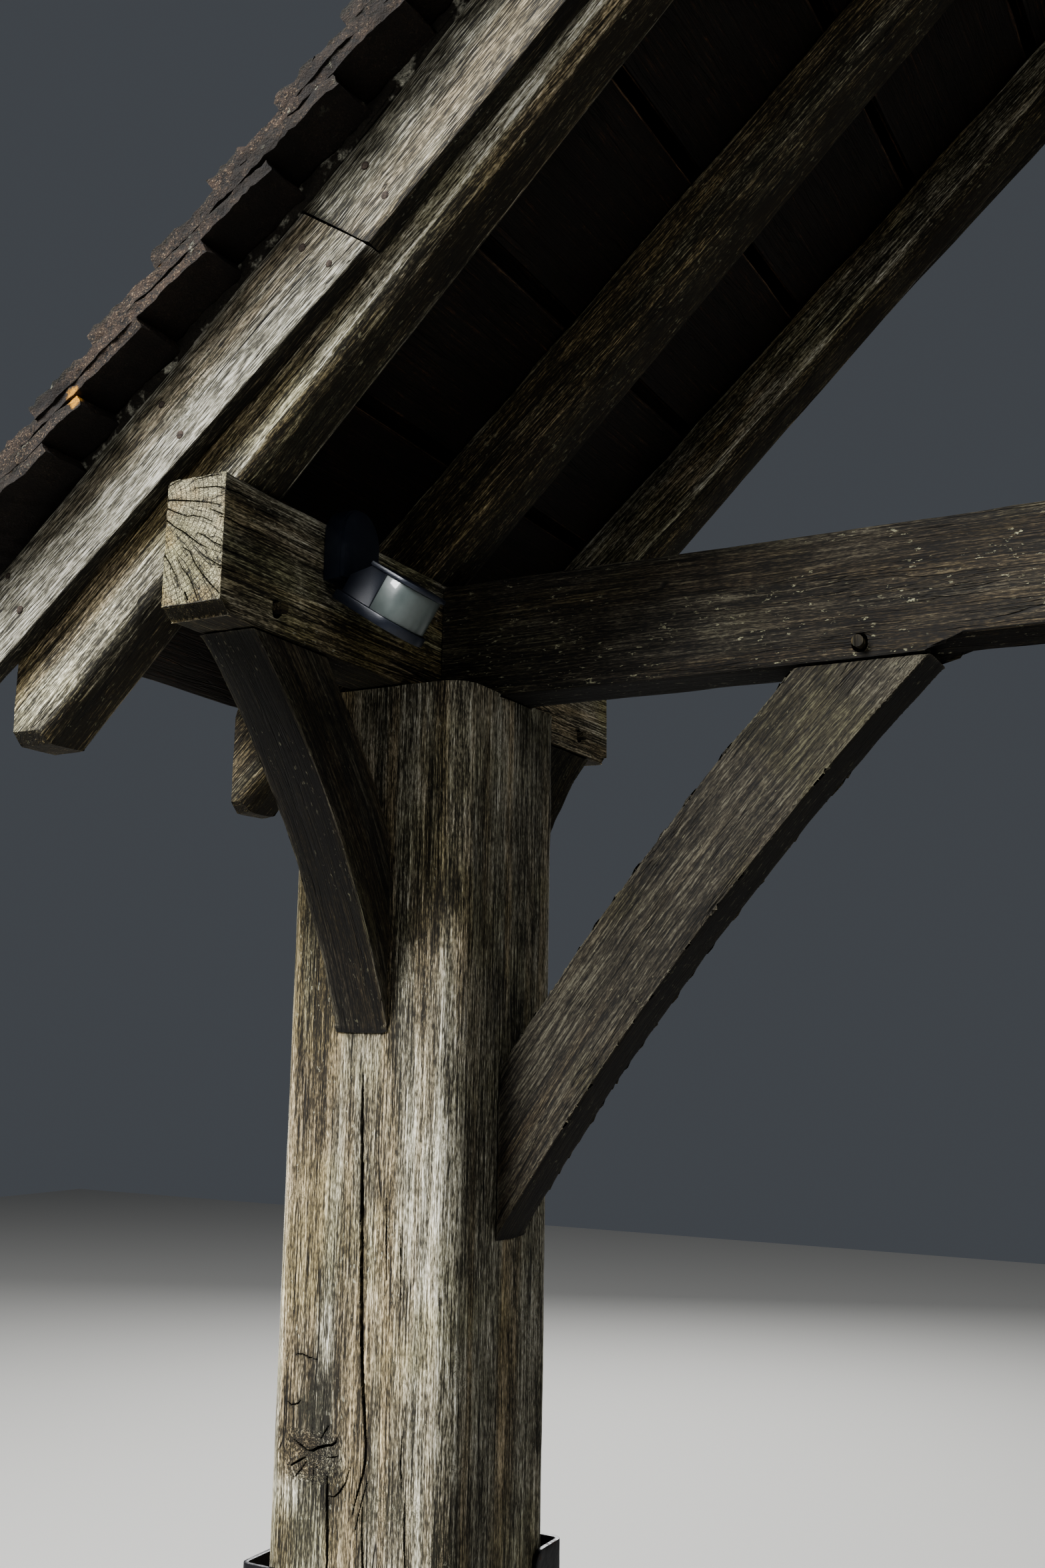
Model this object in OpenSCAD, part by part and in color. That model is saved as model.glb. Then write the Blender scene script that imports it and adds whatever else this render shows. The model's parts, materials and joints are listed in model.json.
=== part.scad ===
// Two-post oak lychgate with a shallow tiled roof.
// Each post carries a wall plate that runs front to back, a tie beam joins the two plates,
// and three rafter couples sit over the plates. Curved braces stiffen both directions.
// Millimetres, +Z up, -Y is the front. The origin is the centre of the left post's foot.
// Inside the modules x is measured from the ridge line, and u is that distance outwards.

/* [Passage] */
// Clear width between the posts
passage_w = 1700; // [1300:10:2200]
// Height of the wall plates' underside above the ground
plate_z = 2100; // [1900:10:2400]

/* [Posts] */
// Side of each square post
post_w = 236; // [200:2:260]
// Leg of the chamfer on the post's corners
post_chamfer = 18; // [8:1:24]
// Height of plain square post under the chamfers
post_plain_foot = 160; // [100:10:300]
// Length of the sloping stop at the foot of those chamfers
post_stop_l = 40; // [20:5:80]

/* [Wall plates] */
// Width of a wall plate
plate_w = 75; // [65:1:100]
// Height of a wall plate
plate_h = 145; // [120:1:180]
// How far a plate's ends stand out past the barge boards
plate_end_out = 10; // [0:1:40]
// How far a plate's centre line sits outside its post's centre line
plate_offset = 6; // [0:1:20]
// Leg of the chamfer round a plate's ends
plate_end_chamfer = 12; // [6:1:20]

/* [Tie beam] */
// Thickness of the tie beam
tie_w = 75; // [60:1:100]
// Height of the tie beam
tie_h = 145; // [120:1:180]
// How far the tie beam is let down into the heads of the posts
tie_housing = 4; // [0:1:20]
// How far the tie beam and its braces lie behind the posts' centre lines
tie_back = 6; // [0:1:20]
// Leg of the stopped chamfer on the tie beam's lower arrises
tie_chamfer = 14; // [8:1:22]
// Distance from a post's face to where that chamfer starts
tie_chamfer_from = 528; // [505:1:600]
// Length of the sloping stop at each end of that chamfer
tie_stop_l = 38; // [20:1:60]

/* [Braces] */
// Thickness of every brace
brace_w = 72; // [60:1:75]
// Thickness of the tenons
tenon_t = 25; // [18:1:32]
// Length of the tenons
tenon_l = 50; // [40:1:60]
// How far the tenons stand back from the edges of their timbers
tenon_shoulder = 10; // [5:1:20]
// Depth of a tie brace, square to its curve
tie_brace_d = 105; // [80:1:120]
// Where a tie brace's inner curve meets the tie beam, from the post's face
tie_brace_reach = 495; // [420:5:500]
// Where a tie brace's inner curve meets the post, below the tie beam
tie_brace_drop = 615; // [520:5:700]
// Rise of a tie brace's inner curve from its chord
tie_brace_sag = 22; // [15:1:45]
// Depth of a plate brace, square to its curve
plate_brace_d = 92; // [70:1:110]
// Where a plate brace's inner curve meets the plate, from the post's face
plate_brace_reach = 268; // [230:2:280]
// Where a plate brace's inner curve meets the post, below the plate
plate_brace_drop = 395; // [340:5:450]
// Rise of a plate brace's inner curve from its chord
plate_brace_sag = 29; // [12:1:40]

/* [Pegs] */
// Diameter of the oak pegs
peg_d = 15; // [12:1:19]
// How far a peg stands out of the timber
peg_proud = 9; // [4:1:20]
// Height of the tie beam's pegs above its underside
tie_peg_up = 18; // [16:1:32]
// Height of the plates' pegs above their underside
plate_peg_up = 28; // [18:1:36]
// How far a plate's peg lies behind the end of the brace's inner curve
plate_peg_back = 36; // [24:1:60]

/* [Rafters] */
// Pitch of the roof in degrees
pitch = 42; // [38:0.5:47]
// Thickness of a rafter
rafter_w = 78; // [60:1:90]
// Depth of a rafter over the plate, square to the slope
rafter_d = 100; // [90:1:120]
// Depth of a rafter at the ridge, to which it tapers
rafter_ridge_d = 50; // [40:1:90]
// Distance between rafter couples, centre to centre
couple_gap = 366; // [340:2:390]
// Leg of the chamfer on the lower arrises of the rafters
rafter_chamfer = 14; // [6:1:20]
// How far the rafter tails reach outside the posts' centre lines
tail_out = 272; // [220:2:320]
// How far the level cut of the tails lies below the plates' underside
tail_drop = 100; // [80:1:130]
// How much lower the middle rafters' tails are cut than the others
middle_drop = 20; // [0:1:30]
// How far outside a plate's inner face the rafters' lower line meets the plate's top
rafter_seat_out = 9; // [0:1:25]

/* [Roof covering] */
// Thickness of the ridge board
ridge_t = 28; // [20:1:40]
// Thickness of the roof boarding
board_t = 22; // [14:1:25]
// Width of a roof board
board_w = 200; // [150:5:240]
// Gap between two roof boards
board_gap = 16; // [4:1:25]
// Thickness of the tiling battens
batten_t = 30; // [19:1:36]
// Width of the tiling battens
batten_w = 38; // [32:1:50]
// Thickness of a plain tile
tile_t = 14; // [11:0.5:16]
// Length of a plain tile
tile_l = 255; // [245:1:280]
// Distance from one course of tiles to the next
tile_gauge = 100; // [95:1:110]
// How far the lowest tiles reach outside the posts' centre lines
eaves_out = 342; // [310:1:380]
// How much the lowest tiles are lifted off the straight slope
eaves_lift = 14; // [0:1:30]
// How far the tiles stand out past the barge boards
verge_out = 53; // [30:1:70]
// Outer radius of the half-round ridge tiles
ridge_tile_r = 112; // [100:1:130]
// Number of ridge tiles along the ridge
ridge_tile_n = 3; // [2:1:4]
// Least thickness of the mortar on the barge boards and under the ridge tiles
mortar_t = 8; // [3:1:12]

/* [Barge boards] */
// Width of the upper barge boards
barge_w = 98; // [85:1:110]
// Width of the lower barge boards at their feet
barge_foot_w = 80; // [60:1:98]
// Thickness of a barge board
barge_t = 26; // [20:1:32]
// How far the joint's top end lies inside the posts' centre lines
barge_joint_in = 98; // [60:1:300]
// How far the joint leans from square, in degrees
barge_joint_lean = 14; // [0:1:30]
// How far the barge boards' feet reach outside the posts' centre lines
barge_out = 310; // [280:2:340]

/* [Iron bands] */
// Height of a band's top edge above the ground
band_top_z = 1138; // [900:1:1300]
// Height of the flat iron
band_h = 50; // [30:1:70]
// Thickness of the flat iron
band_t = 6; // [4:1:10]
// Space between the band and the post's outer and back faces
band_gap = 14; // [8:1:25]
// Length of the lips on the post's front and inner faces
band_lip = 45; // [35:1:70]
// Inner radius of the band's bends
band_bend_r = 5; // [2:0.5:8]
// Radius of the corners at the lips' ends
band_end_r = 14; // [4:1:20]

/* [Lamp] */
// Width of the lamp's wall box
lamp_box_w = 70; // [60:1:90]
// Height of the wall box up to the top of its arch
lamp_box_h = 84; // [70:1:100]
// Depth of the wall box
lamp_box_d = 24; // [18:1:40]
// Height of the wall box's foot above the plates' underside
lamp_box_up = 80; // [60:1:90]
// Distance of the lamp's centre in front of the post's front face
lamp_front = 122; // [100:1:160]
// Height of the head's joint above the wall box's foot
lamp_pivot_up = 8; // [4:1:30]
// Diameter of the neck between wall box and head
lamp_neck_d = 18; // [12:1:24]
// Length of the neck in front of the wall box
lamp_neck_l = 9; // [6:1:20]
// Tilt of the lamp's head below level, in degrees
lamp_tilt = 33; // [15:1:45]
// Width of the lamp's head
lamp_head_w = 62; // [50:1:80]
// Length of the lamp's head
lamp_head_l = 92; // [80:1:110]
// Height of the lamp's head between its base and its visor
lamp_head_h = 40; // [30:1:50]
// Thickness of the head's base
lamp_base_t = 11; // [6:1:16]
// Thickness of the visor
lamp_visor_t = 5; // [3:0.5:8]
// How far base and visor stand out past the head
lamp_rim = 4; // [2:0.5:6]
// Length of the lens, back from the front of the head
lamp_lens_l = 49; // [40:1:60]

/* [Hidden] */

oak = [0.52, 0.50, 0.45];
oak_dark = [0.40, 0.37, 0.32];
oak_brown = [0.36, 0.25, 0.17];
clay = [0.30, 0.22, 0.17];
mortar = [0.62, 0.60, 0.55];
iron = [0.08, 0.08, 0.09];
frosted = [0.72, 0.76, 0.78];
round_fn = 48;
arc_fn = 1440;   // for the long flat curves of the braces
over = 1;        // how far a cutting shape runs past what it cuts
ridge_gap = 6;   // half the gap between the topmost tiles and boards of the two slopes

half_span = passage_w / 2 + post_w / 2;
plate_u = half_span + plate_offset;          // centre line of a plate
seat_u = plate_u - plate_w / 2;              // a plate's inner face
plate_top = plate_z + plate_h;
tie_z = plate_z - tie_housing;
rafter_y = couple_gap + rafter_w / 2;        // outer face of the front and rear rafters
barge_y = rafter_y + barge_t;                // outer face of the barge boards
verge_y = barge_y + verge_out;               // outer edge of the tiles
plate_y = barge_y + plate_end_out;           // end face of a plate
board_n = rafter_d;                          // heights above the slope line
batten_n = board_n + board_t;
tile_n = batten_n + batten_t;
barge_top_n = tile_n - mortar_t;

// The slope line is parallel to the roof and meets the rafters' lower line over the plate.
// Height of the slope line at u, and of a line n above it, square to the slope
function slope_z(u, n = 0) = plate_top + (seat_u + rafter_seat_out - u) * tan(pitch) + n / cos(pitch);
// Point at a distance s down the slope from the ridge line, n above the slope line
function slope_point(s, n) =
    [s * cos(pitch) + n * sin(pitch), slope_z(0) - s * sin(pitch) + n * cos(pitch)];
// The s at which a line n above the slope line is u away from the ridge
function slope_s(u, n) = (u - n * sin(pitch)) / cos(pitch);

// Extrudes a profile drawn in x and z over the depth from y0 to y1
module across(y0, y1) {
    translate([0, y1, 0]) rotate([90, 0, 0]) linear_extrude(y1 - y0) children();
}

// Draws a right-hand piece on the named side
module on_side(side) {
    mirror([side == "left" ? 1 : 0, 0, 0]) children();
}

// Draws a front piece at the named end
module at_end(end) {
    mirror([0, end == "rear" ? 1 : 0, 0]) children();
}

// Post with chamfered corners, housed for the tie beam and mortised for the braces
module post(side) color(oak) difference() {
    union() {
        on_side(side) translate([half_span, 0, 0]) post_shaft();
        on_side(side) post_tenon();
    }
    tie_beam_blank();
    at_tie_brace(side) brace_tenons(tie_brace);
    for (end = ["front", "rear"]) at_plate_brace(side, end) brace_tenons(plate_brace);
}

// Square shaft whose four corners are chamfered above a sloping stop
module post_shaft() difference() {
    corner = post_w / 2;
    depth = post_chamfer / sqrt(2);
    translate([-corner, -corner, 0]) cube([post_w, post_w, plate_z]);
    for (turn = [0:3]) rotate([0, 0, 90 * turn]) translate([corner, corner, 0]) rotate([0, 0, 45])
        across(-2 * post_chamfer, 2 * post_chamfer) polygon([
            [0, post_plain_foot], [-depth, post_plain_foot + post_stop_l], [-depth, plate_z + over],
            [post_chamfer, plate_z + over], [post_chamfer, post_plain_foot],
        ]);
}

// Tenon on a post's head, in the middle of the plate
module post_tenon() translate([plate_u - tenon_t / 2, -post_w / 4, plate_z - over])
    cube([tenon_t, post_w / 2, tenon_l + over]);

// Wall plate: a beam along Y with chamfered lower arrises at its ends, mortised and drilled
module wall_plate(side) color(oak) difference() {
    on_side(side) translate([seat_u, -plate_y, plate_z]) cube([plate_w, 2 * plate_y, plate_h]);
    on_side(side) for (end = ["front", "rear"]) at_end(end)
        translate([plate_u - plate_w, -plate_y, plate_z]) rotate([45, 0, 0])
            translate([0, -plate_end_chamfer, -plate_end_chamfer / sqrt(2)])
                cube([2 * plate_w, 2 * plate_end_chamfer, plate_end_chamfer * sqrt(2)]);
    on_side(side) post_tenon();
    tie_tenons();
    for (end = ["front", "rear"]) {
        at_plate_brace(side, end) brace_tenons(plate_brace);
        plate_peg(side, end, over);
    }
}

// Tie beam between the plates, with stopped chamfers on its two lower arrises
module tie_beam() color(oak_dark) difference() {
    union() {
        tie_beam_blank();
        tie_tenons();
    }
    for (end = ["front", "rear"]) translate([0, tie_back, 0]) at_end(end)
        translate([0, -tie_w / 2, tie_z]) rotate([45, 0, 0]) tie_chamfer_cutter();
    for (side = ["left", "right"]) {
        at_tie_brace(side) brace_tenons(tie_brace);
        tie_peg(side, over);
    }
}

module tie_beam_blank() translate([-seat_u, tie_back - tie_w / 2, tie_z])
    cube([2 * seat_u, tie_w, tie_h]);

// Tenons at both ends of the tie beam, in its upper half so that they pass over the posts' tenons
module tie_tenons() translate([-seat_u - tenon_l, tie_back - tenon_t / 2, tie_z + tie_h / 2])
    cube([2 * (seat_u + tenon_l), tenon_t, tie_h / 2 - 2 * tenon_shoulder]);

// Long cutter for one arris, with a sloping run-out at both ends
module tie_chamfer_cutter() {
    half = passage_w / 2 - tie_chamfer_from;
    depth = tie_chamfer / sqrt(2);
    reach = 2 * tie_chamfer;
    across(-reach, reach) polygon([
        [-half, depth], [half, depth], [half + tie_stop_l, 0], [half + tie_stop_l, -reach],
        [-half - tie_stop_l, -reach], [-half - tie_stop_l, 0],
    ]);
}

// A curved brace is described by the reach, drop and sag of its inner curve and by its depth.
// It is drawn in the corner between a post's face (x = 0) and a beam's underside (z = 0).
tie_brace = [tie_brace_reach, tie_brace_drop, tie_brace_sag, tie_brace_d];
plate_brace = [plate_brace_reach, plate_brace_drop, plate_brace_sag, plate_brace_d];
function chord(b) = sqrt(b[0] * b[0] + b[1] * b[1]);
function inner_r(b) = (chord(b) * chord(b) / 4 + b[2] * b[2]) / (2 * b[2]);
function outer_r(b) = inner_r(b) + b[3];
function arc_x(b) = b[0] / 2 + b[1] / chord(b) * (inner_r(b) - b[2]);
function arc_z(b) = -b[1] / 2 - b[0] / chord(b) * (inner_r(b) - b[2]);
// Where the outer curve meets the beam and the post
function head_x(b) = arc_x(b) - sqrt(pow(outer_r(b), 2) - pow(arc_z(b), 2));
function foot_z(b) = arc_z(b) + sqrt(pow(outer_r(b), 2) - pow(arc_x(b), 2));

module brace_body(b) across(-brace_w / 2, brace_w / 2) intersection() {
    translate([arc_x(b), arc_z(b)]) difference() {
        circle(outer_r(b), $fn = arc_fn);
        circle(inner_r(b), $fn = arc_fn);
    }
    translate([0, -b[1] - b[3]]) square([b[0] + b[3], b[1] + b[3]]);
}

module brace_tenons(b) across(-tenon_t / 2, tenon_t / 2) {
    translate([head_x(b) + tenon_shoulder, -over])
        square([b[0] - head_x(b) - 2 * tenon_shoulder, tenon_l + over]);
    translate([-tenon_l, -b[1] + tenon_shoulder])
        square([tenon_l + over, b[1] + foot_z(b) - 2 * tenon_shoulder]);
}

module at_tie_brace(side) on_side(side) translate([passage_w / 2, tie_back, tie_z])
    mirror([1, 0, 0]) children();

module at_plate_brace(side, end) on_side(side) at_end(end)
    translate([plate_u, -post_w / 2, plate_z]) rotate([0, 0, -90]) children();

module tie_brace(side) color(oak_dark) difference() {
    at_tie_brace(side) {
        brace_body(tie_brace);
        brace_tenons(tie_brace);
    }
    tie_peg(side, over);
}

module plate_brace(side, end) color(oak) difference() {
    at_plate_brace(side, end) {
        brace_body(plate_brace);
        brace_tenons(plate_brace);
    }
    plate_peg(side, end, over);
}

// Peg through the tie beam and the tenon of a tie brace's head
module tie_peg(side, proud) at_tie_brace(side)
    translate([(head_x(tie_brace) + tie_brace_reach) / 2, tie_w / 2 + proud, tie_peg_up])
        rotate([90, 0, 0]) cylinder(d = peg_d, h = tie_w + 2 * proud, $fn = round_fn);

// Peg through a plate and the tenon of a plate brace's head
module plate_peg(side, end, proud) at_plate_brace(side, end)
    translate([plate_brace_reach - plate_peg_back, plate_w / 2 + proud, plate_peg_up])
        rotate([90, 0, 0]) cylinder(d = peg_d, h = plate_w + 2 * proud, $fn = round_fn);

module tie_pegs() color(oak_brown) for (side = ["left", "right"]) tie_peg(side, peg_proud);

module plate_pegs(side) color(oak_brown)
    for (end = ["front", "rear"]) plate_peg(side, end, peg_proud);

// Lower line of the tapered rafters: its height at u, and the u at which it has a height
under_u = seat_u + rafter_seat_out;
under_pitch = pitch + atan((rafter_d - rafter_ridge_d) / slope_s(under_u, 0));
function under_z(u) = plate_top + (under_u - u) * tan(under_pitch);
function under_at(z) = under_u + (plate_top - z) / tan(under_pitch);

// Rafter outline: plumb cut at the ridge and at the tail, with a level cut where it has room
tail_u = half_span + tail_out;
module rafter_profile(level_u, level_z) polygon([
    [ridge_t / 2, under_z(ridge_t / 2)],
    each level_u < tail_u ? [[level_u, level_z], [tail_u, level_z]] : [[tail_u, under_z(tail_u)]],
    [tail_u, slope_z(tail_u, rafter_d)], [ridge_t / 2, slope_z(ridge_t / 2, rafter_d)],
]);

// Rafter centred on y, notched over the plate, chamfered along its lower line and level cut
module rafter(side, y, drop = 0) color(oak) on_side(side) difference() {
    level_z = plate_z - tail_drop - drop;
    level_u = under_at(level_z);
    across(y - rafter_w / 2, y + rafter_w / 2) rafter_profile(level_u, level_z);
    translate([seat_u - plate_w, y - rafter_w, plate_z]) cube([2 * plate_w, 2 * rafter_w, plate_h]);
    for (face = [-1, 1]) {
        translate([0, y + face * rafter_w / 2, under_z(0)]) rotate([0, under_pitch, 0])
            translate([ridge_t, 0, 0]) arris_cutter(2 * half_span, rafter_chamfer);
        translate([level_u, y + face * rafter_w / 2, level_z])
            arris_cutter(2 * tail_out, rafter_chamfer);
    }
}

// Bar along X that takes a chamfer of the given leg off an arris
module arris_cutter(length, leg) {
    side = leg * sqrt(2);
    rotate([45, 0, 0]) translate([0, -side / 2, -side / 2]) cube([length, side, side]);
}

// Ridge board between the two rafters of each couple
module ridge_board() color(oak_brown) {
    foot_z = under_z(ridge_t / 2) - over;
    top_z = slope_z(ridge_t / 2, rafter_d);
    translate([-ridge_t / 2, -rafter_y, foot_z]) cube([ridge_t, 2 * rafter_y, top_z - foot_z]);
}

// Strip on the slope from s0 to s1, between the heights n0 and n1
module slope_strip(s0, s1, n0, n1) across(-rafter_y, rafter_y) polygon([
    slope_point(s0, n0), slope_point(s1, n0), slope_point(s1, n1), slope_point(s0, n1),
]);

// Roof boards, laid from the rafters' tails up and cut plumb at the ridge
module boarding(side) color(oak_brown) on_side(side) intersection() {
    boards_s = slope_s(tail_u, board_n);
    board_pitch = board_w + board_gap;
    board_count = ceil((boards_s - slope_s(ridge_gap, batten_n)) / board_pitch);
    for (i = [0:board_count - 1])
        slope_strip(boards_s - i * board_pitch - board_w, boards_s - i * board_pitch, board_n, batten_n);
    translate([ridge_gap, -2 * rafter_y, plate_z - tail_out])
        cube([2 * half_span, 4 * rafter_y, slope_z(0, tile_n) - plate_z + tail_out]);
}

// Tile courses are numbered from the eaves. Each tile tilts so that it lies on the one below.
tile_tilt = asin(tile_t / tile_gauge);
tile_run = tile_l * cos(tile_tilt);
tile_rise = tile_l * sin(tile_tilt);
tile_step = tile_t / cos(tile_tilt);         // a tile's thickness, square to the slope
tiled_n = tile_n + tile_rise + tile_step;    // top of the tiles' tails
eaves_tile_l = tile_l - tile_gauge + batten_w;
eaves_s = slope_s(half_span + eaves_out, tile_n + eaves_lift + tile_rise);
joint_s = slope_s(half_span - barge_joint_in, barge_top_n);
top_s = slope_s(ridge_gap, barge_top_n);
full_n = floor((eaves_s - tile_run - top_s) / tile_gauge) + 1;   // courses of full tiles
course_n = floor((eaves_s - slope_s(ridge_tile_r + mortar_t, tiled_n)) / tile_gauge);
function course_s(i) = eaves_s - i * tile_gauge;
function head_s(i) = course_s(i) - tile_run;
// Lift of the tiles at s, which grows evenly from the barge boards' joints down to the eaves
function lift(s) = eaves_lift * max(0, s - joint_s) / (eaves_s - joint_s);
// Height of the underside of course i at s
function under_n(i, s) = tile_n + lift(s) + (s - head_s(i)) * tan(tile_tilt);

// Upper side of the tiles from the ridge down, their eaves edge, and their underside back up
tiles_top = [
    slope_point(top_s, under_n(course_n, top_s) + tile_step),
    for (i = [course_n:-1:1]) each [
        slope_point(course_s(i) + tile_t * sin(tile_tilt), under_n(i, course_s(i)) + tile_step),
        slope_point(course_s(i), under_n(i, course_s(i))),
    ],
    slope_point(eaves_s + tile_t * sin(tile_tilt), under_n(0, eaves_s) + tile_step),
];
eaves_head_s = eaves_s - eaves_tile_l;
tiles_eaves = [
    slope_point(eaves_s, under_n(0, eaves_s) - tile_step),
    slope_point(eaves_head_s, under_n(0, eaves_head_s) - tile_step),
    slope_point(eaves_head_s, under_n(0, eaves_head_s)),
];
tiles_under = [
    for (i = [0:full_n - 1]) each [
        slope_point(head_s(i), under_n(i, head_s(i))),
        slope_point(head_s(i), under_n(i + 1, head_s(i))),
    ],
    slope_point(top_s, under_n(full_n, top_s)),
];

module tiles(side) color(clay) on_side(side) across(-verge_y, verge_y)
    polygon(concat(tiles_top, tiles_eaves, tiles_under));

// Battens under the heads of the full tiles, one at the ridge and a tilting fillet at the eaves
module battens(side) color(oak_brown) on_side(side) {
    for (i = [0:full_n - 1])
        slope_strip(head_s(i), head_s(i) + batten_w, batten_n, under_n(i, head_s(i)));
    slope_strip(top_s, top_s + batten_w, batten_n, under_n(full_n, top_s));
    fillet_s = course_s(1);
    across(-rafter_y, rafter_y) polygon([
        slope_point(fillet_s, batten_n), slope_point(fillet_s + batten_w, batten_n),
        slope_point(fillet_s + batten_w, under_n(0, fillet_s + batten_w) - tile_step),
        slope_point(fillet_s, under_n(0, fillet_s) - tile_step),
    ]);
}

// Half-round ridge tiles, end to end; their edges stand on mortar over the top courses
ridge_z = slope_z(ridge_tile_r, tiled_n) + mortar_t;

module ridge_tiles() color(clay) {
    length = 2 * verge_y / ridge_tile_n;
    for (i = [0:ridge_tile_n - 1]) across(-verge_y + i * length, -verge_y + (i + 1) * length - over)
        translate([0, ridge_z]) difference() {
            circle(ridge_tile_r, $fn = round_fn);
            circle(ridge_tile_r - tile_t, $fn = round_fn);
            translate([-2 * ridge_tile_r, -2 * ridge_tile_r])
                square([4 * ridge_tile_r, 2 * ridge_tile_r]);
        }
}

// Mortar bed that fills the ridge tiles down to the tiles
module ridge_mortar() color(mortar) across(-verge_y + 2 * mortar_t, verge_y - 2 * mortar_t) difference() {
    half_w = ridge_tile_r - mortar_t;
    union() {
        intersection() {
            translate([0, ridge_z]) circle(ridge_tile_r - tile_t, $fn = round_fn);
            translate([-ridge_tile_r, ridge_z]) square([2 * ridge_tile_r, ridge_tile_r]);
        }
        translate([-half_w, ridge_z - 2 * ridge_tile_r]) square([2 * half_w, 2 * ridge_tile_r]);
    }
    roof_fill();
    mirror([1, 0]) roof_fill();
}

// Everything under the tiles' upper side on the right-hand slope
module roof_fill() polygon(concat(
    [[-over, 0], [-over, slope_z(0, tile_n)], [ridge_gap, slope_z(ridge_gap, tile_n)]],
    tiles_top, [[tiles_top[len(tiles_top) - 1][0], 0]]
));

// Mortar on the barge boards' top edges, up to the undersides of the tiles
barge_foot_s = slope_s(half_span + barge_out, barge_top_n + eaves_lift);
module verge_mortar(side) color(mortar) on_side(side) for (end = ["front", "rear"]) at_end(end)
    across(mortar_t / 2 - barge_y, -rafter_y) {
        end_s = min(barge_foot_s, eaves_head_s);
        polygon(concat([
            slope_point(top_s, barge_top_n), slope_point(joint_s, barge_top_n),
            slope_point(end_s, barge_top_n + lift(end_s)), slope_point(end_s, under_n(0, end_s)),
        ], tiles_under));
    }

// Barge boards: the upper ones follow the rafters, the lower ones lie flatter and get narrower
module barge(side, end, part) color(oak) on_side(side) at_end(end) across(-barge_y, -rafter_y) {
    joint_top = slope_point(joint_s, barge_top_n);
    joint_low = slope_point(joint_s - barge_w * tan(barge_joint_lean), barge_top_n - barge_w);
    foot_n = barge_top_n + lift(barge_foot_s);
    foot_top = slope_point(barge_foot_s, foot_n);
    foot_low = slope_point(slope_s(foot_top[0], foot_n - barge_foot_w), foot_n - barge_foot_w);
    if (part == "upper") polygon([
        [0, slope_z(0, barge_top_n - barge_w)], joint_low, joint_top, [0, slope_z(0, barge_top_n)],
    ]);
    else polygon([joint_top, joint_low, foot_low, foot_top]);
}

// Flat iron band: lips on the front and inner faces, standing off the outer and back faces
module iron_band(side) color(iron) on_side(side) translate([half_span, 0, band_top_z - band_h])
    difference() {
        half = post_w / 2;
        inner_w = post_w + band_gap;
        linear_extrude(band_h) difference() {
            translate([band_gap / 2, band_gap / 2]) difference() {
                rounded_square(inner_w + 2 * band_t, band_bend_r + band_t);
                rounded_square(inner_w, band_bend_r);
            }
            translate([-2 * post_w, -2 * post_w])
                square([2 * post_w + half - band_lip, 2 * post_w + half - band_lip]);
        }
        across(-half - 2 * band_t, -half + over) lip_end(half - band_lip);
        rotate([0, 0, 90]) across(half - over, half + 2 * band_t) lip_end(half - band_lip);
    }

module rounded_square(w, r) {
    square([w, w - 2 * r], center = true);
    square([w - 2 * r, w], center = true);
    for (x = [-1, 1], y = [-1, 1]) translate([x, y] * (w / 2 - r)) circle(r, $fn = round_fn);
}

// Cutter for the rounded corners of a lip that ends at x
module lip_end(x) for (z = [0, 1]) translate([x, z * band_h]) mirror([0, z]) difference() {
    translate([-over, -over]) square(band_end_r + over);
    translate([band_end_r, band_end_r]) circle(band_end_r, $fn = round_fn);
}

// Lamp on the inner side of the left plate: a wall box with an arched top and a tilted head
module at_lamp() translate([-seat_u, -post_w / 2 - lamp_front, plate_z + lamp_box_up]) children();

module at_lamp_head() at_lamp() translate([lamp_box_d, 0, lamp_pivot_up]) rotate([0, lamp_tilt, 0])
    translate([lamp_neck_l, 0, -lamp_head_h / 2]) children();

module lamp_bracket() color(iron) {
    at_lamp() rotate([90, 0, 90]) {
        linear_extrude(lamp_box_d - lamp_rim) arch(lamp_box_w, lamp_box_h);
        translate([0, lamp_rim / 2, 0]) linear_extrude(lamp_box_d)
            arch(lamp_box_w - lamp_rim, lamp_box_h - lamp_rim);
    }
    at_lamp_head() translate([-2 * lamp_neck_l, 0, lamp_head_h / 2]) rotate([0, 90, 0])
        cylinder(d = lamp_neck_d, h = 2 * lamp_neck_l, $fn = round_fn);
}

module arch(w, h) {
    translate([0, h - w / 2]) circle(d = w, $fn = round_fn);
    translate([-w / 2, 0]) square([w, h - w / 2]);
}

// Plan of the head: straight sides from x0 and a round front at x = length
module head_plan(x0, length, w) {
    translate([x0, -w / 2]) square([length - w / 2 - x0, w]);
    translate([length - w / 2, 0]) circle(d = w, $fn = round_fn);
}

module lamp_head() color(iron) at_lamp_head() {
    slope = lamp_head_h / 2;         // leg of the slope at the back of the head
    body_l = lamp_head_l - lamp_lens_l;
    rim_w = lamp_head_w + 2 * lamp_rim;
    across(-lamp_head_w / 2, lamp_head_w / 2) polygon([
        [0, 0], [body_l, 0], [body_l, lamp_head_h], [slope, lamp_head_h], [0, lamp_head_h - slope],
    ]);
    translate([0, 0, -lamp_base_t]) linear_extrude(lamp_base_t)
        head_plan(-lamp_rim, lamp_head_l + lamp_rim, rim_w);
    translate([0, 0, lamp_head_h]) linear_extrude(lamp_visor_t)
        head_plan(slope, lamp_head_l + lamp_rim, rim_w);
}

module lamp_glass() color(frosted) at_lamp_head() linear_extrude(lamp_head_h)
    head_plan(lamp_head_l - lamp_lens_l, lamp_head_l, lamp_head_w);

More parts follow.
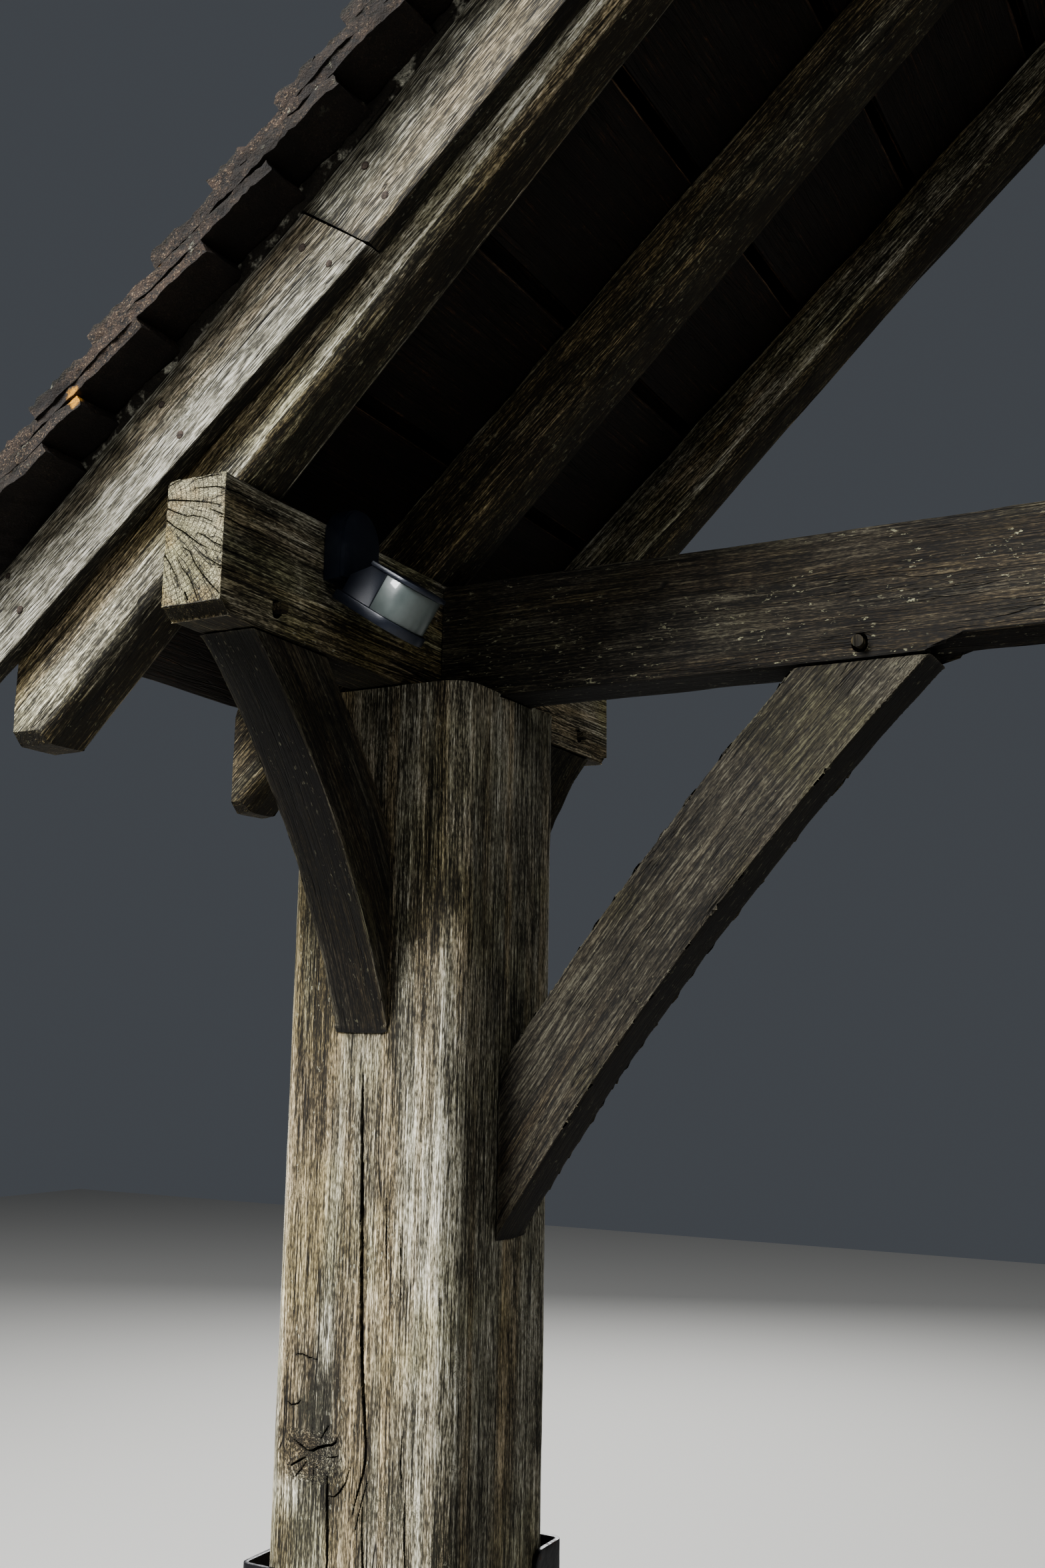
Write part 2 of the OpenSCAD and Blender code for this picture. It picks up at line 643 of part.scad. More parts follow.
translate([half_span, 0, 0]) {
    for (side = ["left", "right"]) {
        post(side);
        wall_plate(side);
        tie_brace(side);
        boarding(side);
        battens(side);
        tiles(side);
        verge_mortar(side);
        plate_pegs(side);
        iron_band(side);
        rafter(side, -couple_gap);
        rafter(side, 0, middle_drop);
        rafter(side, couple_gap);
        for (end = ["front", "rear"]) {
            plate_brace(side, end);
            for (part = ["upper", "lower"])
                barge(side, end, part);
        }
    }
    tie_beam();
    ridge_board();
    ridge_tiles();
    ridge_mortar();
    tie_pegs();
    lamp_bracket();
    lamp_head();
    lamp_glass();
}
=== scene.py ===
import json
import math

import bmesh
import bpy
import numpy as np
from mathutils import Matrix, Vector

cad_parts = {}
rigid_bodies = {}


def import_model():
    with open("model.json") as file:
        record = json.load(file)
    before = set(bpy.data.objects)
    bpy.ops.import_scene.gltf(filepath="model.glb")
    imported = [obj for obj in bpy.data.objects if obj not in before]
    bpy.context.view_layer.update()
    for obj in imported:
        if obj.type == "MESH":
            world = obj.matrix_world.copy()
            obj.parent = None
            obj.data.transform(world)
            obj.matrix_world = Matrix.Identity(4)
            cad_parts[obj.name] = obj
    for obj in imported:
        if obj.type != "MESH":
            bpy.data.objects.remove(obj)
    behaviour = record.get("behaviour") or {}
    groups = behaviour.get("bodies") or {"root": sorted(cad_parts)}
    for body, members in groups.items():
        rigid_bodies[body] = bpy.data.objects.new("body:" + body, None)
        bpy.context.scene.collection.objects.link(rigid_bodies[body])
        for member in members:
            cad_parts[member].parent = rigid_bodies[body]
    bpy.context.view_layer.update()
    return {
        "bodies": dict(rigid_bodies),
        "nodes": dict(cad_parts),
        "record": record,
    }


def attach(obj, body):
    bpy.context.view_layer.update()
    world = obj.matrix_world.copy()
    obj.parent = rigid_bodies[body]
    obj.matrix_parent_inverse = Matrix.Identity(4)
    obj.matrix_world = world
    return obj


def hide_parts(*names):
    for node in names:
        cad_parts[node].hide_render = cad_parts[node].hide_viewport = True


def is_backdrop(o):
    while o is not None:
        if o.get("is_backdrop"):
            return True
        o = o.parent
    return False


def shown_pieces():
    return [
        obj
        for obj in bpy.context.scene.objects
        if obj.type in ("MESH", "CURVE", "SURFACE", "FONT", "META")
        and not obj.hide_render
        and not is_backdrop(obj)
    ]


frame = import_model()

body = list(frame["bodies"])[0]
print("frame loaded:", len(frame["nodes"]), "nodes on body", body)


def addObject(name, data):
    item = bpy.data.objects.new(name, data)
    bpy.context.scene.collection.objects.link(item)
    return item


# Node trees. A wire is an output socket; arithmetic on it adds Math nodes.
class Wire:
    def __init__(self, tree, socket):
        self.tree = tree
        self.socket = socket

    def __add__(self, other):
        return self.tree.maths("ADD", self, other)

    def __radd__(self, other):
        return self.tree.maths("ADD", other, self)

    def __sub__(self, other):
        return self.tree.maths("SUBTRACT", self, other)

    def __rsub__(self, other):
        return self.tree.maths("SUBTRACT", other, self)

    def __mul__(self, other):
        return self.tree.maths("MULTIPLY", self, other)

    def __rmul__(self, other):
        return self.tree.maths("MULTIPLY", other, self)

    def __truediv__(self, other):
        return self.tree.maths("DIVIDE", self, other)

    def __pow__(self, other):
        return self.tree.maths("POWER", self, other)

    def __abs__(self):
        return self.tree.maths("ABSOLUTE", self)


class Tree:  # a shader or geometry node tree that is being built
    def __init__(self, tree):
        self.tree = tree

    def plug(self, node, values):
        for key, value in values.items():
            socket = node.inputs[key]
            if isinstance(value, Wire):
                self.tree.links.new(value.socket, socket)
            else:
                socket.default_value = value

    def add(self, kind, settings=None, values=None, out=0):
        node = self.tree.nodes.new(kind)
        for key, value in (settings or {}).items():
            if key == "stops":
                ramp = node.color_ramp
                while len(ramp.elements) < len(value):
                    ramp.elements.new(0.5)
                for element, (place, colour) in zip(ramp.elements, value):
                    element.position = place
                    element.color = (*colour, 1)
            else:
                setattr(node, key, value)
        self.plug(node, values or {})
        return Wire(self, node.outputs[out])

    def maths(self, operation, *values):
        return self.add("ShaderNodeMath", {"operation": operation}, dict(enumerate(values)))

    def xyz(self, x, y, z):
        return self.add("ShaderNodeCombineXYZ", None, {0: x, 1: y, 2: z})

    def parts(self, vector):
        split = self.add("ShaderNodeSeparateXYZ", None, {0: vector})
        return [Wire(self, socket) for socket in split.socket.node.outputs]

    def scaled(self, vector, factors):
        return self.add("ShaderNodeVectorMath", {"operation": "MULTIPLY"}, {0: vector, 1: factors})

    def shifted(self, vector, offset):
        return self.add("ShaderNodeVectorMath", {"operation": "ADD"}, {0: vector, 1: offset})

    def noise(self, vector, scale, detail=2.0, rough=0.55, out=0):
        return self.add("ShaderNodeTexNoise", None,
                        {"Vector": vector, "Scale": scale, "Detail": detail, "Roughness": rough}, out)

    def rise(self, value, low, high):  # 0 below low, 1 above high, smooth between
        return self.add("ShaderNodeMapRange", {"interpolation_type": "SMOOTHSTEP"},
                        {0: value, 1: low, 2: high, 3: 0.0, 4: 1.0})

    def most(self, first, second):
        return self.maths("MAXIMUM", first, second)

    def mix(self, factor, first, second):
        return self.add("ShaderNodeMix", {"data_type": "RGBA"},
                        {0: factor, 6: self.tint(first), 7: self.tint(second)}, out=2)

    def times(self, vector, factor):  # a vector or colour times a number
        return self.add("ShaderNodeVectorMath", {"operation": "SCALE"}, {0: vector, 3: factor})

    def tint(self, colour):
        return colour if isinstance(colour, Wire) or len(colour) == 4 else (*colour, 1)

    def ramp(self, value, *stops):
        return self.add("ShaderNodeValToRGB", {"stops": stops}, {0: value})


class Paint(Tree):  # a material's tree
    def __init__(self, name):
        self.material = bpy.data.materials.new(name)
        self.material.use_nodes = True
        super().__init__(self.material.node_tree)
        self.shader = self.tree.nodes["Principled BSDF"]

    def place(self):
        return self.add("ShaderNodeTexCoord", out="Object")

    def mark(self, name, out="Vector"):
        return self.add("ShaderNodeAttribute", {"attribute_name": name}, out=out)

    def finish(self, colour, rough, height=None, depth=0.001, **others):
        values = {"Base Color": self.tint(colour), "Roughness": rough}
        if height is not None:
            values["Normal"] = self.add("ShaderNodeBump", None,
                                        {"Strength": 1.0, "Distance": depth, "Height": height})
        values.update({key.replace("_", " "): value for key, value in others.items()})
        self.plug(self.shader, values)
        return self.material


class Growth(Tree):  # a geometry node tree with named inputs
    kinds = {bool: "NodeSocketBool", int: "NodeSocketInt", float: "NodeSocketFloat",
             bpy.types.Material: "NodeSocketMaterial"}

    def __init__(self, name, values):
        self.group = bpy.data.node_groups.new(name, "GeometryNodeTree")
        super().__init__(self.group)
        self.values = values
        for key, value in values.items():
            self.group.interface.new_socket(name=key, in_out="INPUT", socket_type=self.kinds[type(value)])
        self.group.interface.new_socket(name="Geometry", in_out="OUTPUT", socket_type="NodeSocketGeometry")
        self.source = self.tree.nodes.new("NodeGroupInput")

    def get(self, name):
        return Wire(self, self.source.outputs[name])

    def floor(self, value):
        return self.maths("FLOOR", value)

    def equal(self, value, number, slack=0.01):
        return self.maths("COMPARE", value, number, slack)

    def random(self, low, high, seed):  # the float sockets are 2 and 3, and the output 1
        return self.add("FunctionNodeRandomValue", {"data_type": "FLOAT"},
                        {2: low, 3: high, "Seed": seed}, out=1)

    def store(self, geometry, name, value):
        return self.add("GeometryNodeStoreNamedAttribute", {"data_type": "FLOAT", "domain": "POINT"},
                        {"Geometry": geometry, "Name": name, "Value": value})

    def stored(self, name):
        return self.add("GeometryNodeInputNamedAttribute", {"data_type": "FLOAT"}, {"Name": name})

    def move(self, geometry, offset):
        return self.add("GeometryNodeSetPosition", None, {"Geometry": geometry, "Offset": offset})

    def finish(self, geometry):
        painted = self.add("GeometryNodeSetMaterial", None,
                           {"Geometry": geometry, "Material": self.get("Material")})
        sink = self.tree.nodes.new("NodeGroupOutput")
        self.tree.links.new(painted.socket, sink.inputs[0])
        return self

    def make(self, name, changes):  # the plain mesh that the tree grows with these inputs
        item = addObject(name, bpy.data.meshes.new(name))
        modifier = item.modifiers.new(name, "NODES")
        modifier.node_group = self.group
        values = {**self.values, **changes}
        for socket in self.group.interface.items_tree:
            if socket.in_out == "INPUT":
                modifier[socket.identifier] = values[socket.name]
        graph = bpy.context.evaluated_depsgraph_get()
        mesh = bpy.data.meshes.new_from_object(
            item.evaluated_get(graph), preserve_all_data_layers=True, depsgraph=graph)
        bpy.data.objects.remove(item)
        return mesh


# Smooth noise from 0 to 1 on an array of points, for moving vertices, from numbers scrambled with primes
lattice = {"primes": np.array([374761393, 668265263, 1442695041]), "seedPrime": 974634777,
           "lastPrime": 1274126177, "mask": 0xffffffff, "top": 0xffff}


def latticeNoise(points, seed=0):
    base = np.floor(points).astype(np.int64)
    part = points - base
    part = part * part * (3 - 2 * part)
    total = np.zeros(len(points))
    for corner in range(8):
        step = np.array([corner & 1, corner >> 1 & 1, corner >> 2])
        mixed = (base + step) @ lattice["primes"] + seed * lattice["seedPrime"]
        mixed = (mixed ^ (mixed >> 13)) * lattice["lastPrime"] & lattice["mask"]
        value = ((mixed ^ (mixed >> 16)) & lattice["top"]) / lattice["top"]
        total += value * np.abs(1 - step - part).prod(axis=1)
    return total


def roughNoise(points, octaves=3, seed=0):
    total = sum(latticeNoise(points * 2 ** k, seed + k) / 2 ** k for k in range(octaves))
    return total / (2 - 2 ** (1 - octaves))


farAway = 9.0


def fromSegment(points, start, end):  # each point's share along a segment and its distance from it
    line = end - start
    along = np.clip((points - start) @ line / max(line @ line, 1e-12), 0, 1)
    return along, np.linalg.norm(points - start - along[:, None] * line, axis=1)


def segmentDistance(points, starts, ends):  # distance of each point from the nearest of some segments
    best = np.full(len(points), farAway)
    for start, end in zip(starts, ends):
        best = np.minimum(best, fromSegment(points, start, end)[1])
    return best


# Weathered oak, painted from attributes of the mesh, in metres: grain is the point's place across,
# through and along the grain, core its place across and through from the pith, end is 1 on end grain,
# marks how close it is to an arris, how deep in a crack and how stained, with painted shade on faces turned
# down added to the stain, and wash how bleached it is, with painted light and shade added.
# Most patterns are waves per metre, where there are three of them across, through and along the grain.
# The two drifts are metres, a stretch is a share, and the two that end in apart move a noise elsewhere.
patterns = {"drift": (8.0, 8.0, 2.0), "driftAcross": 0.014, "driftThrough": 0.010, "dash": 820.0,
            "streak": (75.0, 75.0, 3.2), "band": (22.0, 22.0, 1.4), "cloud": 11.0, "ringWobble": 28.0,
            "rayStretch": 1.4, "ray": 90.0, "split": 7.0, "wideLine": (30.0, 30.0, 1.3),
            "fineLine": (110.0, 110.0, 5.5), "breaks": (26.0, 26.0, 5.0), "algae": 7.0, "fleck": 640.0,
            "fleckStretch": (1.0, 1.0, 0.55), "crust": 260.0, "crustStretch": (1.0, 1.0, 0.38),
            "crustArea": 12.0, "splitApart": (3.0, 0.0, 0.0), "algaeApart": (5.0, 2.0, 9.0)}
toneStops = (0.0, 0.3, 0.52, 0.76, 1.0)  # where the five tones of a look stand on its ramp


def oak(name, look):
    p = Paint(name)

    def stretched(vector, sizes, detail, rough):  # noise from -0.5 to 0.5
        return p.noise(p.scaled(vector, sizes), 1.0, detail, rough) - 0.5

    grain = p.mark("grain")
    arris, crack, stainAndShade = p.parts(p.mark("marks"))
    wash = p.mark("wash", "Fac")
    end = p.mark("end", "Fac")
    side = 1.0 - end
    drift = stretched(grain, patterns["drift"], 2.0, 0.55)
    bent = p.shifted(grain, p.xyz(drift * patterns["driftAcross"], drift * patterns["driftThrough"], 0.0))
    dash = stretched(bent, (patterns["dash"], patterns["dash"], look["dashLong"]), 2.0, 0.6)
    line = stretched(bent, (look["lineFine"], look["lineFine"], look["lineLong"]), 3.0, 0.6)
    streak = stretched(bent, patterns["streak"], 3.0, 0.55)
    band = p.noise(p.scaled(bent, patterns["band"]), 1.0, 2.0, 0.6)
    cloud = p.noise(grain, patterns["cloud"], 4.0, 0.62)

    # Growth rings and rays round the pith, across the end grain and as long lines on the faces
    coreX, coreY, _ = p.parts(p.mark("core"))
    wobble = p.noise(p.mark("core"), patterns["ringWobble"], 2.0) - 0.5
    radius = (coreX * coreX + coreY * coreY) ** 0.5 + wobble * 0.004 + streak * 0.002
    wave = p.maths("SINE", radius * (2 * math.pi / look["ringGap"]))
    ring, ringLine = p.rise(wave, 0.1, 1.0), p.rise(wave, 0.72, 1.0)
    angle = p.maths("ARCTAN2", coreY, coreX)
    polar = p.xyz(angle, radius * patterns["rayStretch"], 0.0)
    ray = p.noise(polar, patterns["ray"], 2.0, 0.6) - 0.5
    split = abs(p.noise(p.shifted(polar, patterns["splitApart"]), patterns["split"], 3.0, 0.5) - 0.5)

    # Checks: thin dark lines along the grain, where a stretched noise crosses its middle value
    wideLine = abs(stretched(bent, patterns["wideLine"], 2.0, 0.5))
    fineLine = abs(stretched(bent, patterns["fineLine"], 2.0, 0.5))
    breaks = p.noise(p.scaled(grain, patterns["breaks"]), 1.0, 1.0)
    wideCheck = (1.0 - p.rise(wideLine, 0.001, 0.008)) * p.rise(breaks, 0.52, 0.62)
    fineCheck = (1.0 - p.rise(fineLine, 0.0, 0.022)) * p.rise(breaks, 0.36, 0.6)
    sideCheck = p.most(wideCheck, fineCheck * 0.7) * side
    endCheck = (1.0 - p.rise(split, 0.0, 0.012)) * end * look["endChecks"]
    checks = p.most(p.most(sideCheck, endCheck) * look["checks"], crack)

    # Five tones, then brown bands, the end grain's tint, green algae, dark flecks, lichen and the checks
    sideTone = dash * look["dash"] + line * look["line"] + streak * look["streak"] - ring * look["rings"]
    endTone = ray + dash * 1.5 - ringLine * 0.26 - 0.06
    tone = sideTone * side + endTone * end + (wash - 0.5) * 0.75 + (cloud - 0.5) * look["clouds"] + 0.5
    # Lighter towards the arrises, partly worn wood and partly a painted highlight, and darker with
    # stainAndShade, which holds real stains and painted shade on faces turned down
    tone = tone + p.rise(arris, 0.2, 1.0) * look["edge"] - stainAndShade * 0.5
    wood = p.ramp(tone, *zip(toneStops, look["tones"]))
    brown = p.rise(band + (0.5 - wash) * 0.35, 0.45, 0.68)
    wood = p.mix(brown * look["brownShare"], wood, p.scaled(wood, look["brownTint"]))
    wood = p.mix(end * (1.15 - cloud) * 0.9, wood, p.scaled(wood, look["endTint"]))
    algae = p.noise(p.shifted(grain, patterns["algaeApart"]), patterns["algae"], 3.0, 0.6)
    algae = p.rise(algae + (0.5 - wash) * 0.25, 0.48, 0.66)
    wood = p.mix(algae * look["greenShare"], wood, p.scaled(wood, look["greenTint"]))
    fleck = p.noise(p.scaled(grain, patterns["fleckStretch"]), patterns["fleck"], 2.0, 0.65)
    fleck = p.rise(fleck, 0.50, 0.60) * p.rise(cloud + stainAndShade * 0.35, 0.56, 0.72)
    wood = p.mix(fleck * look["flecks"], wood, look["fleckColour"])
    crust = p.noise(p.scaled(grain, patterns["crustStretch"]), patterns["crust"], 3.0, 0.62)
    area = p.noise(grain, patterns["crustArea"], 2.0)
    crust = p.rise(crust, 0.63, 0.68) * p.rise(area, 0.40, 0.58) * look["lichen"]
    wood = p.mix(crust, wood, look["lichenColour"])
    wood = p.mix(checks, wood, look["black"])

    height = dash * 0.35 + line * 0.8 + streak * 0.7 - ring * 0.12 - checks * 1.5 + crust * 0.35
    return p.finish(wood, dash * 0.2 + look["rough"], height, look["relief"])


def toned(tones, share):
    return tuple(tuple(value * share for value in tone) for tone in tones)


silverTones = ((0.016, 0.014, 0.009), (0.080, 0.073, 0.051), (0.215, 0.202, 0.153), (0.36, 0.345, 0.28),
               (0.60, 0.585, 0.52))
# Painted shade: tones darker than the silver ones, for timbers in the roof's shade; the tie beam, the braces
# and the pegs take them.
shadedTones = ((0.008, 0.006, 0.004), (0.030, 0.025, 0.016), (0.080, 0.068, 0.045), (0.15, 0.132, 0.095),
               (0.29, 0.27, 0.20))
brownTones = ((0.006, 0.004, 0.002), (0.020, 0.012, 0.007), (0.052, 0.032, 0.018), (0.095, 0.060, 0.034),
              (0.17, 0.11, 0.065))
silverOak = {
    "tones": silverTones, "dash": 1.8, "dashLong": 130.0, "line": 2.1, "lineLong": 14.0, "lineFine": 520.0,
    "streak": 0.5, "clouds": 0.8, "edge": 0.12, "brownTint": (0.90, 0.72, 0.50), "brownShare": 0.7,
    "ringGap": 0.0056, "rings": 0.10, "endTint": (0.96, 0.94, 0.71), "endChecks": 0.9, "checks": 0.95,
    "greenShare": 0.35, "greenTint": (0.72, 0.74, 0.45), "flecks": 0.75,
    "fleckColour": (0.035, 0.036, 0.022), "lichen": 0.35, "lichenColour": (0.50, 0.50, 0.40),
    "black": (0.007, 0.006, 0.005), "rough": 0.82, "relief": 0.0012,
    # paintedLightUp and paintedShadeFoot add painted shade towards the top and at the foot; the arrises are
    # lighter, partly worn and partly a painted highlight
    "wash": 0.5, "paintedLightUp": 0.0, "arrisBleachAndHighlight": 0.1, "paintedShadeFoot": 0.0,
}
shadedOak = {**silverOak, "tones": toned(shadedTones, 0.36), "greenShare": 0.5,
             "fleckColour": (0.012, 0.012, 0.007)}
looks = {
    "post_oak": {**silverOak, "tones": toned(silverTones, 0.90)},
    "plate_oak": {**silverOak, "dash": 1.4, "greenShare": 0.6, "clouds": 0.7},
    "tie_oak": {**shadedOak, "dash": 2.0, "lichen": 0.75, "lichenColour": (0.27, 0.265, 0.18)},
    # The braces' lighter arrises are partly a painted highlight.
    "brace_oak": {**shadedOak, "lichen": 0.4, "lichenColour": (0.25, 0.24, 0.16), "edge": 0.3},
    # The rafters darker towards the top, painted shade under the barge boards, and lighter at the arrises,
    # partly a painted highlight.
    "rafter_oak": {**silverOak, "wash": 0.52, "paintedLightUp": -0.18, "arrisBleachAndHighlight": 0.2, "greenShare": 0.4,
                   "greenTint": (0.78, 0.76, 0.46), "lichenColour": (0.42, 0.42, 0.28)},
    # The barge boards darker towards the top, painted shade under the tiles, and darker at the foot and
    # underside, painted shade.
    "barge_oak": {**silverOak, "tones": toned(silverTones, 0.54), "paintedLightUp": -0.16, "paintedShadeFoot": 0.6,
                  "dash": 1.7, "dashLong": 110.0, "line": 3.4, "lineLong": 36.0, "lineFine": 900.0,
                  "streak": 0.2, "brownShare": 0.6, "greenShare": 0.15, "clouds": 0.45,
                  "lichenColour": (0.30, 0.30, 0.235)},
    "roof_wood": {**silverOak, "tones": brownTones, "brownTint": (1.0, 0.62, 0.38), "lichen": 0.0,
                  "greenShare": 0.0, "flecks": 0.2, "rings": 0.5, "ringGap": 0.007, "rough": 0.72},
    "peg_oak": {**silverOak, "tones": shadedTones, "lichen": 0.0},
}
wood = {slot: oak(slot, look) for slot, look in looks.items()}
print("oak finishes made:", len(wood))


# Timbers: a merged copy of the CAD node is cut into small cells and its surface weathered.
# Sizes are in metres, where there are three of them across, through and along the grain.
timber = {"mergeGap": 1e-6, "flatAngle": 0.01, "arrisAngle": math.radians(30), "draftScale": 2.5,
          "withGrain": 0.93, "withBentGrain": 0.5, "pithAcross": 0.02, "pithThrough": 0.09,
          "waveSize": (0.045, 0.045, 0.40), "fibreSize": (0.009, 0.009, 0.22), "chipSize": (0.02, 0.02, 0.06),
          "tideSize": (0.06, 0.06, 0.30), "tide": 0.4, "spread": (1.37, 2.11, 3.3), "pieceStep": 0.73,
          "creaseAngle": math.radians(38), "sharpAngle": math.radians(24), "endGrain": 0.75,
          "knotReach": 3, "knotCells": 25, "knotDeep": 0.03,
          "crackReach": 0.0017, "crackSoft": 0.0008, "crackLeast": 0.0015, "crackPerWidth": 8,
          "crackMost": 0.020, "crackStain": 0.35, "crackStainReach": 0.003,
          "belowFrom": 0.3, "belowOver": 0.4, "belowPaintedShade": 0.6, "belowPaintedShadeStain": 0.35,
          "footFrom": 0.86, "footOver": 0.1, "pieceWash": 0.3}
coarse = 1.0


def mergedCopy(node):
    mesh = bmesh.new()
    mesh.from_mesh(frame["nodes"][node].data)
    bmesh.ops.remove_doubles(mesh, verts=mesh.verts, dist=timber["mergeGap"])
    bmesh.ops.dissolve_limit(mesh, angle_limit=timber["flatAngle"], verts=mesh.verts, edges=mesh.edges)
    return mesh


def cutAt(mesh, axis, places):
    for place in places:
        geometry = mesh.verts[:] + mesh.edges[:] + mesh.faces[:]
        bmesh.ops.bisect_plane(mesh, geom=geometry, dist=timber["mergeGap"], plane_co=axis * place,
                               plane_no=axis)


def halved(mesh, edges):  # cuts edges in two and leaves no face with many corners
    bmesh.ops.subdivide_edges(mesh, edges=edges, cuts=1, use_grid_fill=True)
    bmesh.ops.triangulate(mesh, faces=[f for f in mesh.faces if len(f.verts) > 4])


def grainAxes(mesh):  # across, through and along the grain
    edge = max(mesh.edges, key=lambda e: e.calc_length())
    along = (edge.verts[1].co - edge.verts[0].co).normalized()
    through = max(mesh.faces, key=lambda f: f.calc_area()).normal.normalized()
    return through.cross(along).normalized(), through, along


def arrises(mesh, along, bent):  # the convex edges that run with the grain
    least = timber["withBentGrain"] if bent else timber["withGrain"]
    sharp = [e for e in mesh.edges if e.is_convex and e.calc_face_angle(0) > timber["arrisAngle"]
             and abs((e.verts[1].co - e.verts[0].co).normalized().dot(along)) > least]
    starts = np.array([e.verts[0].co[:] for e in sharp])
    ends = np.array([e.verts[1].co[:] for e in sharp])
    return starts, ends


# How far each point lies outside the nearest crack, and that crack's half width there.
# A crack is an array of points with their half widths.
def crackGap(points, cracks):
    best, wide = np.full(len(points), farAway), np.zeros(len(points))
    for crack in cracks:
        for start, end in zip(crack[:-1], crack[1:]):
            along, apart = fromSegment(points, start[:3], end[:3])
            half = start[3] + along * (end[3] - start[3])
            wide = np.where(apart - half < best, half, wide)
            best = np.minimum(best, apart - half)
    return best, wide


def refineNear(mesh, cracks, cells):  # halves the edges near cracks until they are short
    for _ in range(7):
        mesh.verts.index_update()
        mesh.edges.ensure_lookup_table()
        points = np.array([v.co[:] for v in mesh.verts])
        pairs = np.array([(e.verts[0].index, e.verts[1].index) for e in mesh.edges])
        first, last = points[pairs[:, 0]], points[pairs[:, 1]]
        tried = [first * (1 - t) + last * t for t in (0, 0.25, 0.5, 0.75, 1)]
        gap = np.min([crackGap(places, cracks)[0] for places in tried], axis=0)
        long = (np.linalg.norm(first - last, axis=1) > cells) & (gap < timber["crackReach"])
        if not long.any():
            break
        halved(mesh, [mesh.edges[i] for i in np.flatnonzero(long)])


def islands(mesh):  # the number of the loose part that each vertex is in
    mesh.verts.index_update()
    number = np.full(len(mesh.verts), -1)
    count = 0
    for seed in mesh.verts:
        if number[seed.index] >= 0:
            continue
        number[seed.index] = count
        stack = [seed]
        while stack:
            for e in stack.pop().link_edges:
                for vertex in e.verts:
                    if number[vertex.index] < 0:
                        number[vertex.index] = count
                        stack.append(vertex)
        count += 1
    return number


def spotted(points, spots):  # soft ellipsoids: middle, radii and strength of each
    total = np.zeros(len(points))
    for middle, radii, strength in spots:
        total += strength * np.exp(-(((points - np.array(middle)) / np.array(radii)) ** 2).sum(axis=1))
    return total


# Round a knot the grain runs as water does round a stone, and inside it the grain goes round
def knotGrain(grain, points, knot, axes):
    side, up = np.array(axes[0][:]), np.array(axes[2][:])
    offset = points - np.array(knot["middle"])
    x, z = offset @ side, offset @ up
    radius = np.hypot(x, z) + 1e-6
    inner = knot["radius"]
    pushed = x * (1 - np.minimum(inner / radius, 1) ** 2)
    turned = grain.copy()
    near = np.exp(-(offset @ np.array(axes[1][:]) / timber["knotDeep"]) ** 2)
    turned[:, 0] += (np.where(radius < inner, radius - inner, pushed) - x) * near
    return turned


def cutCells(mesh, axes, own, steps):  # small cells, finer round knots and cracks
    for axis, step in zip(axes, steps):
        reach = [v.co.dot(axis) for v in mesh.verts]
        count = max(1, round((max(reach) - min(reach)) / (step * coarse)))
        places = set(np.linspace(min(reach), max(reach), count + 1)[1:-1])
        for knot in own.get("knots", ()):
            middle = Vector(knot["middle"]).dot(axis)
            wide = timber["knotReach"] * knot["radius"]
            places |= set(np.linspace(middle - wide, middle + wide, timber["knotCells"]))
        cutAt(mesh, axis, sorted(place for place in places if min(reach) < place < max(reach)))
    cracks = [np.array(crack) for crack in own.get("cracks", ())]
    if cracks:
        refineNear(mesh, cracks, own["crackCells"] * coarse)
    return cracks


def grainPlaces(points, axes, own):  # each point in the grain, from the pith, and from low to high
    basis = np.array([axis[:] for axis in axes])
    centre = (points.min(axis=0) + points.max(axis=0)) / 2
    grain = (points - centre) @ basis.T
    up = grain[:, 0] / np.abs(grain[:, 0]).max() * math.copysign(1, axes[0].z)
    pith = centre + basis[1] * timber["pithThrough"] + basis[0] * timber["pithAcross"]
    core = (points - np.array(own.get("pith", pith))) @ basis[:2].T
    arc = own.get("arc")
    if arc:  # curved grain, round the middle of the brace's arcs
        offset = points[:, arc["plane"]] - np.array(arc["middle"])
        radius = np.hypot(offset[:, 0], offset[:, 1])
        other = points[:, 3 - sum(arc["plane"])]
        turn = np.unwrap(np.arctan2(offset[:, 1], offset[:, 0]) % (2 * math.pi))
        grain = np.c_[radius - radius.mean(), other, turn * radius.mean()]
        core = np.c_[radius - radius.mean() + timber["pithAcross"], other + timber["pithThrough"]]
    for knot in own.get("knots", ()):
        grain = knotGrain(grain, points, knot, axes)
    return grain, core, up


def placed(mesh):  # the vertices' places and normals
    mesh.normal_update()
    return np.array([v.co[:] for v in mesh.verts]), np.array([v.normal[:] for v in mesh.verts])


